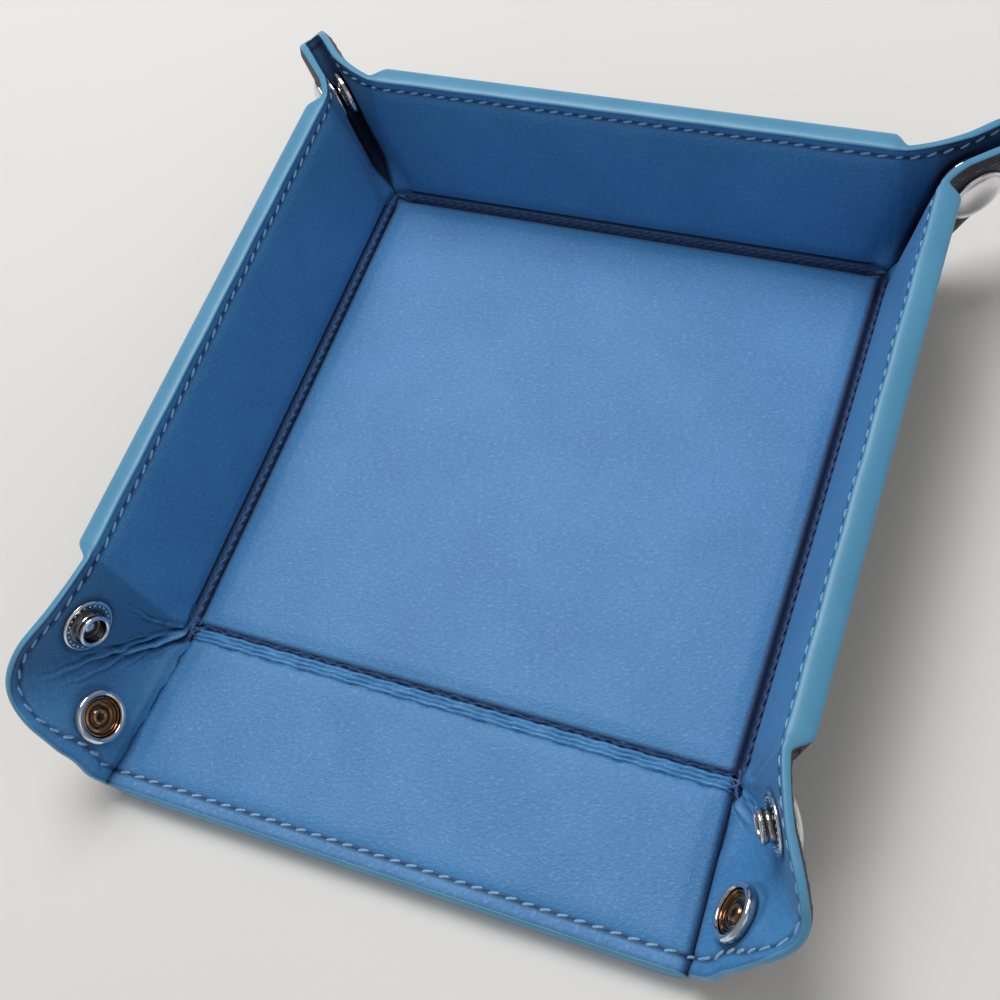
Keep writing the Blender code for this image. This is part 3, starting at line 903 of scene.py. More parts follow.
@dataclass
class LipZone(Zone):
    """The half of a closed ear's U-turn that belongs to one leaf.

    Across the diagonal its face follows a quarter of an ellipse, from the leaf's plane to the
    middle between the two leaves.
    """

    end: int = 1
    line: Line = Line((0.0, 0.0), 0.0)
    run: float = 4.4
    reach: float = 3.3

    def section(self, depth: float) -> Array:
        """Return the pattern's points at a depth under the lining's face.

        Formula: (-run + a sin t, b (1 - cos t)) less depth times the ellipse's own normal, with t
        from 0 to 90 degrees across the lip, and b eased to nothing at the base's corner.

        Args:
            depth: How deep, in millimetres.

        Returns:
            Points in the plan's rows.
        """
        spots = to_corner(self.end, self.plan)
        out = self.line.distance(spots)
        t = np.pi / 2 * np.clip((out + self.run) / self.run, 0.0, 1.0)
        near = smooth(np.hypot(spots[..., 0], spots[..., 1]) / 12.0)
        a, b = self.reach, EAR_GAP / 2 * near
        normal = np.stack([b * np.sin(t), -a * np.cos(t)], axis=-1)
        normal[..., 0] += 1e-6
        normal /= np.linalg.norm(normal, axis=-1, keepdims=True)
        deep = depth * skive(rim_inset(spots[..., 0], spots[..., 1]))
        side = -self.run + a * np.sin(t) + deep * normal[..., 0]
        level = b * (1.0 - np.cos(t)) + deep * normal[..., 1]
        moved = spots + (side - out)[..., None] * self.line.across()
        return raised(to_wall(self.end, moved), level)

    def faces(self) -> dict[Layer, tuple[Array, Array]]:
        """Return the upper and lower face of the lining and the cover, in the tray."""
        depths = {Layer.LINING: (0.0, LEATHER), Layer.COVER: (THIN - LEATHER, THIN)}
        return {layer: tuple(self.chart.place(self.section(depth), self.plan) for depth in pair)
                for layer, pair in depths.items()}

    def edge_ends(self) -> tuple[Array, Array]:
        """Return the upper and lower corner of the rim's edge, in the pattern."""
        return self.section(0.0)[:, -1], self.section(THIN)[:, -1]


def quads(rows: int, cols: int, wrap: bool = False) -> Array:
    """Return the corner numbers of a grid's faces, row by row.

    Args:
        rows: Points along the first direction.
        cols: Points along the second.
        wrap: Whether the second direction closes on itself.

    Returns:
        One row of four numbers for each face.
    """
    grid = np.arange(rows * cols).reshape(rows, cols)
    if wrap:
        grid = np.concatenate([grid, grid[:, :1]], axis=1)
    return np.stack([grid[:-1, :-1], grid[1:, :-1], grid[1:, 1:], grid[:-1, 1:]], -1).reshape(-1, 4)


def shell(upper: Array, lower: Array) -> tuple[Array, Array]:
    """Close two grids of the same size into one shell.

    Args:
        upper: Grid of points, rows by columns by three.
        lower: The grid under it.

    Returns:
        The points and the faces.
    """
    rows, cols = upper.shape[:2]
    face = quads(rows, cols)
    grid = np.arange(rows * cols).reshape(rows, cols)
    loop = np.concatenate([grid[:-1, 0], grid[-1, :-1], grid[:0:-1, -1], grid[0, :0:-1]])
    after = np.roll(loop, -1)
    count = rows * cols
    border = np.stack([after, loop, loop + count, after + count], axis=-1)
    points = np.concatenate([upper.reshape(-1, 3), lower.reshape(-1, 3)])
    return points, np.concatenate([face, face[:, ::-1] + count, border])


def tubes(rings: Array) -> tuple[Array, Array, list[list[int]]]:
    """Skin many tubes at once and cap their ends.

    Args:
        rings: Tubes by rings by points round by three.

    Returns:
        The points, the four-sided faces and the caps.
    """
    many, along, around = rings.shape[:3]
    face = quads(along, around, wrap=True)
    starts = np.arange(many)[:, None, None] * along * around
    faces = (face[None] + starts).reshape(-1, 4)
    first = np.arange(around)[None] + starts[:, 0]
    last = first[:, ::-1] + (along - 1) * around
    return rings.reshape(-1, 3), faces, np.concatenate([first, last]).tolist()


def volume(points: Array, faces: Array) -> float:
    """Return six times the signed volume inside four-sided faces, by triangles from the origin."""
    a, b, c, d = (points[faces[:, index]] for index in range(4))
    return float(np.sum(np.cross(a, b) * c) + np.sum(np.cross(a, c) * d))


def write_mesh(name: str, points: Array, faces: Array, finish: bpy.types.Material,
               caps: list[list[int]] | None = None, uv: Array | None = None,
               marks: dict[str, Array] | None = None, sharp: float = 40.0) -> bpy.types.Object:
    """Write a mesh in metres, turned outwards, with its UV map and attributes.

    Args:
        name: The piece's name.
        points: Places in the tray, in millimetres.
        faces: Four-sided faces.
        finish: The material.
        caps: Faces with more corners.
        uv: One UV place for each point, or None.
        marks: Numbers for each point, by attribute name.
        sharp: The angle in degrees past which an edge is sharp.

    Returns:
        The new object.
    """
    caps = caps or []
    if volume(points, faces) < 0:
        faces = faces[:, ::-1]
        caps = [cap[::-1] for cap in caps]
    mesh = bpy.data.meshes.new(name)
    mesh.from_pydata((points * MM).tolist(), [], faces.tolist() + caps)
    if uv is not None:
        corners = np.empty(len(mesh.loops), dtype=np.int32)
        mesh.loops.foreach_get("vertex_index", corners)
        layer = mesh.uv_layers.new(name="flat")
        layer.data.foreach_set("uv", uv[corners].astype(np.float32).ravel())
    for key, values in (marks or {}).items():
        mark = mesh.attributes.new(key, "FLOAT", "POINT")
        mark.data.foreach_set("value", values.astype(np.float32).ravel())
    mesh.materials.append(finish)
    mesh.shade_smooth()
    mesh.set_sharp_from_angle(angle=math.radians(sharp))
    item = bpy.data.objects.new(name, mesh)
    bpy.context.scene.collection.objects.link(item)
    LOG.info("%s: %d faces", name, len(mesh.polygons))
    return item


def both_faces(pattern: Array) -> Array:
    """Return the UV places of a shell's two faces, from one face's places on the pattern."""
    return np.tile(pattern.reshape(-1, 2) * UV_UNIT, (2, 1))


def even_marks(count: int, dark: float, crumple: float) -> dict[str, Array]:
    """Return a lining's marks with the same painted shade and crumple at every point."""
    return {"dark": np.full(count, dark), "crumple": np.full(count, crumple)}


def rays(origin: Array, direction: Array, start: Array, steps: int, far: float = 90.0,
         halvings: int = 40) -> Array:
    """Run lines of a corner out to the leather's edge, found by halving the reach many times.

    Args:
        origin: One (q, p) for each line.
        direction: One direction for each line.
        start: How far out each line begins.
        steps: How many spots each line gets.
        far: A reach that is past the rim.
        halvings: How many times it is halved.

    Returns:
        Spots (q, p), lines by steps.
    """
    low, high = np.array(start, dtype=float), np.full(len(origin), far)
    for _ in range(halvings):
        middle = (low + high) / 2
        spot = origin + middle[:, None] * direction
        inside = rim_inset(spot[:, 0], spot[:, 1]) > RIM_IN
        low, high = np.where(inside, middle, low), np.where(inside, high, middle)
    share = np.linspace(0.0, 1.0, steps)[None, :, None]
    reach = start[:, None, None] + (low - start)[:, None, None] * share
    return origin[:, None] + reach * direction[:, None]


def crossing(a: Line, b: Line) -> Array:
    """Return where two lines of a corner meet."""
    matrix = np.stack([a.along(), -b.along()], axis=-1)
    along = np.linalg.solve(matrix, np.array(b.origin) - np.array(a.origin))
    return np.array(a.origin) + along[0] * a.along()


def strip_plan(line: Line, first: float, last: float, count: int, steps: int,
               behind: Line | None = None, past: float = 0.0) -> Array:
    """Lay out a strip beside a line, from the crease or another fold to the rim.

    Args:
        line: The line that the strip follows.
        first: Its near edge's distance from the line.
        last: Its far edge's distance.
        count: Lines across it.
        steps: Spots along each.
        behind: A fold that the strip starts from, or None for the crease only.
        past: How far past that fold.

    Returns:
        Spots (q, p).
    """
    origin = line.moved(np.linspace(first, last, count))
    direction = np.broadcast_to(line.along(), origin.shape)
    start = -origin[:, 1] / direction[:, 1]
    if behind is not None:
        slope = line.along() @ behind.across()
        start = np.maximum(start, (past - behind.distance(origin)) / slope)
    return rays(origin, direction, start, steps)


def fan_plan(apex: Array, first: float, last: float, count: int, steps: int) -> Array:
    """Lay out a fan of lines from an apex to the rim, between two slants in radians.

    Args:
        apex: Where the lines meet, as (q, p).
        first: The first line's slant.
        last: The last line's slant.
        count: Lines in the fan.
        steps: Spots along each.

    Returns:
        Spots (q, p).
    """
    slant = np.linspace(first, last, count)
    direction = np.stack([np.sin(slant), np.cos(slant)], axis=-1)
    share = np.full(count, 0.25)
    return rays(np.broadcast_to(apex, (count, 2)), direction, share, steps)


def turning(chart: Chart, end: int, line: Line, first: float, last: float, up: float) -> Array:
    """Return the two places between which leather turns about a line of a corner.

    Args:
        chart: The wall's chart.
        end: The wall's end.
        line: The line that the leather turns about.
        first: Where the turning begins, as a distance from the line.
        last: Where it ends.
        up: How far up the line both places lie.

    Returns:
        Two places in the tray, at the middle of the thin leather.
    """
    spots = np.stack([line.moved(out) + up * line.along() for out in (first, last)])
    return chart.place(raised(to_wall(end, spots), -THIN / 2))


def edge_rings(zone: Zone, bulge: float = 0.11, seat: float = 0.9) -> Array:
    """Carry the painted edge's section along a zone's rim.

    Formula: middle + half sin t + outwards bulge cos t, with t from 90 to -90 degrees and half the
    way from the edge's middle to its upper corner, then two corners set back into the leather.

    Args:
        zone: The zone, with its rim's outward directions.
        bulge: How far the paint stands out, as a share of the edge's thickness.
        seat: How far it reaches back.

    Returns:
        One tube of rings.
    """
    upper, lower = zone.edge_ends()
    outward = raised(zone.rim, 0.0)[:, None]
    middle, half = ((upper + lower) / 2)[:, None], ((upper - lower) / 2)[:, None]
    t = np.linspace(np.pi / 2, -np.pi / 2, 11)[None, :, None]
    stand = RIM_IN * 0.3 + 2 * bulge * np.abs(half[..., 2:])
    arc = middle + half * np.sin(t) * 1.02 + outward * stand * np.cos(t)
    back = np.concatenate([middle - half * 0.9, middle + half * 0.9], axis=1) - outward * seat
    flat = np.concatenate([arc, back], axis=1)
    return zone.chart.place(flat, zone.plan[:, -1][:, None])[None]


def stitch_rings(zone: Zone, side: int, length: float = 3.45, radius: float = 0.36,
                 slant: float = 15.0) -> Array:
    """Lay a zone's stitches on one face.

    Formula: along t of the length, round by radius sqrt(1 - |t|^3), sunk by 0.42 |t|^3 at the ends.

    Args:
        zone: The zone, with its stitches' centres and directions.
        side: 1 for the lining's face, -1 for the cover's.
        length: A stitch's length.
        radius: Its thickest radius.
        slant: How far it turns from the seam, in degrees.

    Returns:
        Tubes of rings, in the tray.
    """
    centres, tangents = zone.stitches
    turn = math.radians(slant) * side
    along = np.stack([tangents[:, 0] * math.cos(turn) - tangents[:, 1] * math.sin(turn),
                      tangents[:, 0] * math.sin(turn) + tangents[:, 1] * math.cos(turn)], axis=-1)
    square = np.stack([-along[:, 1], along[:, 0]], axis=-1)
    t = np.linspace(-1.0, 1.0, 7)[:, None]
    around = np.arange(6) * np.pi / 3
    thick = radius * np.sqrt(np.maximum(1.0 - np.abs(t) ** 3, 0.03))
    plan = (centres[:, None, None] + along[:, None, None] * (t * length / 2)[..., None]
            + square[:, None, None] * (thick * np.cos(around))[..., None])
    level = zone.form.top(centres) if side > 0 else zone.form.under(centres)
    rise = (0.12 if side > 0 else -0.20) - 0.42 * np.abs(t) ** 3
    lift = rise + thick * np.sin(around) * 0.8
    return zone.chart.place(raised(plan, level[:, None, None] + side * lift))


def rim_path(end: int, length: float, corner: bool) -> tuple[Array, Array]:
    """Return stitch centres and directions along half a wall's rim and round its corner.

    Formula: straight to the corner's arc, a quarter turn of the arc, then straight down, by length
    along the path.

    Args:
        end: The wall's end that the path runs to.
        length: How far the straight part runs.
        corner: Whether a rounded corner follows.

    Returns:
        The centres and the directions.
    """
    level, arc = WALL_H - THREAD_IN, ROUND - THREAD_IN
    total = length + (arc * np.pi / 2 + ROUND_AT if corner else 0.0)
    s = np.arange(STITCH_PITCH / 2, total, STITCH_PITCH)
    turn = np.clip((s - length) / arc, 0.0, np.pi / 2)
    down = np.maximum(s - length - arc * np.pi / 2, 0.0)
    x = np.minimum(s, length) + arc * np.sin(turn)
    y = level - arc * (1.0 - np.cos(turn)) - down
    centres = np.stack([end * x, y], axis=-1)
    tangents = np.stack([end * np.cos(turn), -np.sin(turn)], axis=-1)
    return centres, tangents


@dataclass(frozen=True)
class Dresser:
    """Builds the pieces of each zone in their finishes and gives them their motion."""

    finishes: Finishes

    def settle(self, item: bpy.types.Object, zone: Zone, layer: Layer) -> None:
        """Give a piece its motion and hide the nodes that it stands for.

        Args:
            item: The piece.
            zone: The zone that it belongs to.
            layer: Its layer.
        """
        zone.motion.give(item)
        nodes = zone.replaces.get(layer, ())
        if nodes:
            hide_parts(*nodes)

    def leather(self, zone: Zone) -> None:
        """Build a zone's lining and cover.

        Args:
            zone: The zone.
        """
        uv = both_faces(zone.chart.pattern(zone.plan))
        # The dark mark is painted shade, and painted highlight where it is below 0.
        marks = {"dark": np.tile(zone.form.dark(zone.plan).ravel(), 2),
                 "crumple": np.tile(zone.form.crumple(zone.plan).ravel(), 2)}
        for layer, (upper, lower) in zone.faces().items():
            points, faces = shell(upper, lower)
            item = write_mesh(f"{zone.name}_{layer.value}_skin", points, faces,
                              self.finishes[layer.value], uv=uv,
                              marks=marks if layer is Layer.LINING else None)
            self.settle(item, zone, layer)

    def edge(self, zone: Zone) -> None:
        """Build a zone's painted edge.

        Args:
            zone: The zone.
        """
        rings = edge_rings(zone)
        points, faces, caps = tubes(rings)
        uv = np.repeat(zone.chart.pattern(zone.plan[:, -1]) * UV_UNIT, rings.shape[2], axis=0)
        item = write_mesh(zone.name + "_painted_edge", points, faces, self.finishes["edge"], caps,
                          uv, sharp=70.0)
        self.settle(item, zone, Layer.EDGE)

    def thread(self, zone: Zone) -> None:
        """Build a zone's stitches, on both faces, darker on the cover's.

        Args:
            zone: The zone.
        """
        points, faces, caps = tubes(np.concatenate([stitch_rings(zone, side) for side in (1, -1)]))
        marks = {"dark": np.repeat((0.0, 0.8), len(points) // 2)}
        item = write_mesh(zone.name + "_stitches", points, faces, self.finishes["thread"], caps,
                          marks=marks)
        self.settle(item, zone, Layer.THREAD)

    def dress(self, zone: Zone) -> None:
        """Build all of a zone."""
        self.leather(zone)
        if zone.rim is not None:
            self.edge(zone)
        if zone.stitches is not None and len(zone.stitches[0]):
            self.thread(zone)


def corner_rim(plan: Array, end: int) -> Array:
    """Return the rim's outward directions at the last spots of a corner's lines, in the pattern.

    Args:
        plan: Spots (q, p), lines by steps.
        end: The wall's end.

    Returns:
        One direction for each line.
    """
    row = plan[:, -1]
    way = np.maximum(row - ROUND_AT, 0.0)
    way[:, 0] = np.where(row[:, 0] < ROUND_AT, 0.0, way[:, 0])
    way /= np.linalg.norm(way, axis=-1, keepdims=True)
    return np.stack([end * way[:, 0], way[:, 1]], axis=-1)


def laid_out(left: Array, right: Array, y: Array, share: Array) -> Array:
    """Lay plan spots from a left to a right end at each height y, by shares of the way."""
    x = left[None] + (right - left)[None] * share[:, None]
    return np.stack([x, np.broadcast_to(y, x.shape)], axis=-1)


@dataclass
class Wall:
    """One wall with its board, its crease and the seam along its rim.

    Its own leather ends at a distance before each ear's fold.
    """

    name: str
    form: WallForm
    befores: tuple[float, float] = (-2.0, -2.0)
    across: int = 110
    up: int = 30

    def side_x(self, index: int, y: Array) -> Array:
        """Return how far out the wall's leather runs at one end, at heights y.

        Args:
            index: 0 for the left end, 1 for the right.
            y: The heights.

        Returns:
            One distance from the middle for each height.
        """
        ear = self.form.ears[index]
        if ear is None:
            return front_end(y, (-1, 1)[index])
        line = ear.fold(self.befores[index])
        return HALF + line.origin[0] + (y - line.origin[1]) * math.tan(line.slant)

    def zone(self) -> Zone:
        """Lay out the wall from its crease band to its rim.

        Returns:
            The wall's zone.
        """
        y = BAND + (WALL_H - RIM_IN - BAND) * eased(self.up)
        plan = laid_out(-self.side_x(0, y), self.side_x(1, y), y, eased(self.across))
        rim = np.broadcast_to(np.array([0.0, 1.0]), (self.across, 2))
        replaces = {**skins(self.name), Layer.THREAD: (self.name + "_rim_thread",)}
        return Zone(self.name, self.form, self.form.chart, plan, Motion(self.name), replaces, rim,
                    self.stitches())

    def stitches(self) -> tuple[Array, Array]:
        """Return the rim's stitches that lie on the wall itself.

        Returns:
            The centres and the directions.
        """
        corner = not self.form.is_front()
        found = []
        for index, end in enumerate((-1, 1)):
            run = HALF + ROUND_AT if corner else float(front_end(np.array(WALL_H), end)) - 0.6
            centres, tangents = rim_path(end, run, corner)
            keep = np.abs(centres[:, 0]) < self.side_x(index, centres[:, 1])
            found.append((centres[keep], tangents[keep]))
        return tuple(np.concatenate(arrays) for arrays in zip(*found))

    def board(self, finish: bpy.types.Material, margin: float = 8.2, foot: float = 1.4,
              head: float = 3.6) -> None:
        """Build the stiff board inside the wall.

        Args:
            finish: The board's material.
            margin: How far it stays from the ends of the wall's leather.
            foot: How far from the crease band.
            head: How far from the rim.
        """
        y = np.linspace(BAND + foot, WALL_H - head, 6)
        plan = laid_out(margin - self.side_x(0, y), self.side_x(1, y) - margin, y,
                        np.linspace(0.0, 1.0, 20))
        points, faces = shell(*(self.form.chart.place(raised(plan, z)) for z in BOARD_FACES))
        item = write_mesh(f"{self.name}_inner_board", points, faces, finish)
        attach(item, self.name)
        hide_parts(f"{self.name}_board")

    def band(self) -> Zone:
        """Lay out the crease band, mitred into its neighbours on the base's side.

        Returns:
            The band's zone.
        """
        y = np.linspace(-BAND, BAND, 25)
        left, right = (np.where(y < 0, HALF + y, np.minimum(self.side_x(index, y), HALF))
                       for index in (0, 1))
        plan = laid_out(-left, right, y, np.linspace(0.0, 1.0, 170))
        chart = self.form.chart
        start, end = chart.place(np.array([[0.0, -BAND, 0.0], [0.0, BAND, 0.0]]))
        motion = Motion("base", self.name, start, end)
        return Zone(self.name.replace("_wall", "_crease"), self.form, chart, plan, motion)


def eased(count: int, share: float = 0.55) -> Array:
    """Return steps from 0 to 1, closer together at both ends."""
    even = np.linspace(0.0, 1.0, count)
    return even * (1 - share) + share * (1 - np.cos(np.pi * even)) / 2


@dataclass
class RearLeaf:
    """A leaf of a snapped rear ear, from its wall's fold to the middle of the ear's U-turn.

    The fold's strip reaches half its width to either side, and the lip runs up to the diagonal.
    """

    name: str
    wall: str
    form: WallForm
    end: int
    ear: Ear
    half: float = 2.0
    run: float = 4.4

    def stitches(self, low: float, high: float = math.inf,
                 before: float = math.inf) -> tuple[Array, Array]:
        """Return the rim's stitches on one strip of the leaf.

        Args:
            low: Their least distance past the fold.
            high: Their greatest distance past it.
            before: Their greatest distance past the diagonal.

        Returns:
            The centres and the directions.
        """
        centres, tangents = rim_path(self.end, HALF + ROUND_AT, True)
        spots = to_corner(self.end, centres)
        past = self.ear.fold().distance(spots)
        keep = (past >= low) & (past < high) & (self.ear.diagonal().distance(spots) < before)
        return centres[keep], tangents[keep]

    def zones(self) -> list[Zone]:
        """Lay out the fold strip, the leaf and the lip.

        Returns:
            The three zones, outwards.
        """
        form, chart, body = self.form, self.form.chart, self.name + "_leaf"
        fold, diagonal = self.ear.fold(), self.ear.diagonal()
        strip = strip_plan(fold, -self.half, self.half, 14, 44)
        start, stop = turning(chart, self.end, fold, -self.half, self.half, 22.0)
        over = Zone(self.name + "_fold", form, chart, to_wall(self.end, strip),
                    Motion(self.wall, body, start, stop), rim=corner_rim(strip, self.end),
                    stitches=self.stitches(-self.half, self.half))
        apex = crossing(self.ear.fold(self.half), self.ear.diagonal(-self.run))
        fan = fan_plan(apex, fold.slant, diagonal.slant, 26, 34)
        leaf = Zone(self.name, form, chart, to_wall(self.end, fan), Motion(body), skins(self.name),
                    corner_rim(fan, self.end), self.stitches(self.half, before=-self.run))
        plan = strip_plan(diagonal, -self.run, 0.0, 12, 40, fold, self.half)
        along = diagonal.along()
        rim = np.broadcast_to(np.array([self.end * along[0], along[1]]), (len(plan), 2))
        lip = LipZone(self.name + "_lip", form, chart, to_wall(self.end, plan), Motion(body),
                      rim=rim, end=self.end, line=diagonal, run=self.run)
        return [over, leaf, lip]


@dataclass
class FrontLeaves:
    """An open front corner: strips over the bend and the curl, and the two leaves between.

    The strips begin near the wall's fold and back from the diagonal.
    """

    corner: OpenCorner
    form: WallForm
    near: float = -3.0
    back: float = -4.0

    def zones(self) -> list[Zone]:
        """Lay out the corner's four zones, from the side wall to the front wall's end.

        Each row gives a zone's name, its plan, the line that it turns about with the limits of the
        turning, its stitches and the nodes that it stands for.

        Returns:
            The four zones.
        """
        side, end, chart = self.corner.side.value, self.corner.front_end(), self.form.chart
        name, near, split, back = f"{side}_front", self.near, FOLD_STRIP / 2, self.back
        fold, diagonal = FRONT_SIDE.fold(), FRONT_SIDE.diagonal()
        apex = crossing(FRONT_SIDE.fold(split), FRONT_SIDE.diagonal(back))
        centres, tangents = rim_path(end, HALF + ROUND_AT, True)
        spots = to_corner(end, centres)
        out, past = fold.distance(spots), diagonal.distance(spots)
        rows = (
            ("bend", strip_plan(fold, near, split, 18, 46), (fold, near, split, 22.0),
             (out >= near) & (out < split), {Layer.LINING: (f"{name}_fold",)}),
            ("leaf", fan_plan(apex, fold.slant, diagonal.slant, 34, 44), (fold, split, 3.6, 22.0),
             (out >= split) & (past < back), skins(name)),
            ("curl", strip_plan(diagonal, back, 0.0, 18, 56, fold, split),
             (diagonal, back, 0.0, 30.0), (past >= back) & (past < 0.0),
             {Layer.LINING: (f"{name}_curl",)}),
            ("front", fan_plan(np.zeros(2), diagonal.slant, np.pi / 2 - 1e-4, 60, 56),
             (diagonal, 0.0, 4.5, 30.0), (past >= 0.0) & (spots[:, 1] > 0.9),
             skins(f"front_{side}")))
        bodies = (f"{side}_wall", f"{name}_bend", f"{name}_leaf", f"{name}_curl",
                  f"front_{side}_leaf")
        zones = []
        for index, (key, plan, limits, keep, nodes) in enumerate(rows):
            motion = Motion(bodies[index], bodies[index + 1], *turning(chart, end, *limits))
            zones.append(Zone(f"{name}_{key}", self.form, chart, to_wall(end, plan), motion, nodes,
                              corner_rim(plan, end), (centres[keep], tangents[keep])))
        return zones


@dataclass(frozen=True)
class SeamGutter:
    """The strip of turned-under leather along the front wall's end, at the bottom of its seam.

    Its width runs from inside the wall's end to outside it, between two levels.
    """

    end: int
    width: tuple[float, float] = (-2.2, 1.6)
    levels: tuple[float, float] = (-1.7, -2.3)

    def build(self, finishes: Finishes) -> None:
        """Build the strip, from just before the crease to just under the rim.

        Args:
            finishes: The finishes, by name.
        """
        out, y = np.meshgrid(np.linspace(*self.width, 8), np.linspace(-1.0, WALL_H - 2.0, 30),
                             indexing="ij")
        plan = np.stack([self.end * (front_end(y, self.end) + out), y], axis=-1)
        points, faces = shell(*(FRONT.place(raised(plan, z)) for z in self.levels))
        side = "left" if self.end > 0 else "right"
        item = write_mesh(f"front_{side}_gutter", points, faces, finishes["lining"],
                          uv=both_faces(FRONT.pattern(plan)),
                          # Strong painted shade at the bottom of the seam's groove.
                          marks=even_marks(len(points), 0.9, 0.4))
        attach(item, "front_wall")


@dataclass(frozen=True)
class CornerPatch:
    """The leather under the meeting point of two creases at a corner of the base."""

    name: str
    right: int
    back: int

    def build(self, finishes: Finishes) -> None:
        """Build two shallow cups, z = -1.25 - 0.09 r squared, of the lining and the cover.

        Args:
            finishes: The finishes, by name.
        """
        reach, inside = (3.0, 0.2) if self.back < 0 else (2.2, 1.5)
        corner = np.array([self.right * (HALF - inside), self.back * (HALF - inside), PANEL])
        t = np.linspace(0.0, 2 * np.pi, 33)
        for layer, more, levels in (("lining", 0.0, (0.0, 0.3)), ("cover", 0.4, (0.32, 0.9))):
            r = np.linspace(0.05, reach + more, 8)[:, None]
            plan = np.stack([r * np.cos(t), r * np.sin(t)], axis=-1)
            cups = (raised(plan, -1.25 - 0.09 * r * r - deep) + corner for deep in levels)
            points, faces = shell(*cups)
            item = write_mesh(f"{self.name}_{layer}_patch", points, faces, finishes[layer],
                              uv=both_faces(plan + corner[:2]),
                              # Painted shade in the hollow where the creases meet.
                              marks=even_marks(len(points), 0.8, 1.0))
            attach(item, "base")


@dataclass(frozen=True)
class CornerKnot:
    """The threads that cross at an open corner's meeting point.

    A strand has the (x, y) of both its ends, from the corner, and how far it rises between them.
    """

    side: Side
    strands: tuple[tuple[float, float, float, float, float], ...] = (
        (-3.4, 0.9, 2.6, -1.0, 0.75), (-1.4, 3.2, 0.4, -3.6, 0.85), (-2.9, -2.2, 1.4, 1.9, 0.95),
        (-0.6, -2.6, -2.6, 1.6, 0.70), (0.2, 1.6, 2.0, -2.4, 0.60))
    inside: float = 0.2

    def build(self, finishes: Finishes) -> None:
        """Build the threads at the base's corner.

        Formula: along s from one end to the other, swayed by 0.35 sin(5 s + its number), raised
        by h sin(pi s) and sunk by 0.5 mm, a tube of radius 0.30 (1 + 0.18 cos(2 t - 5 s pi)).

        Args:
            finishes: The finishes, by name.
        """
        s = np.linspace(0.0, 1.0, 22)
        t = np.linspace(0.0, 2 * np.pi, 8, endpoint=False)
        radius = 0.30 * (1.0 + 0.18 * np.cos(2 * t[None] - 5 * np.pi * s[:, None]))
        rings = np.empty((len(self.strands), len(s), len(t), 3))
        for index, (x0, y0, x1, y1, rise) in enumerate(self.strands):
            way = np.array([x1 - x0, y1 - y0])
            square = np.array([-way[1], way[0]]) / np.linalg.norm(way)
            sway = 0.35 * np.sin(s * 5.0 + index)
            middle = np.array([x0, y0]) + s[:, None] * way + sway[:, None] * square
            rings[index, :, :, :2] = middle[:, None] + square * (radius * np.cos(t))[..., None]
            rings[index, :, :, 2] = (rise * np.sin(np.pi * s) - 0.5)[:, None] + radius * np.sin(t)
        mirror = 1 if self.side is Side.RIGHT else -1
        rings[..., 0] *= mirror
        corner = np.array([mirror * (HALF - self.inside), self.inside - HALF, PANEL])
        points, faces, caps = tubes(rings + corner)
        item = write_mesh(f"{self.side.value}_front_knot", points, faces, finishes["cord"], caps)
        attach(item, "base")


class SnapKind(Enum):
    """The two halves of a snap."""

    STUD = "stud"
    SOCKET = "socket"


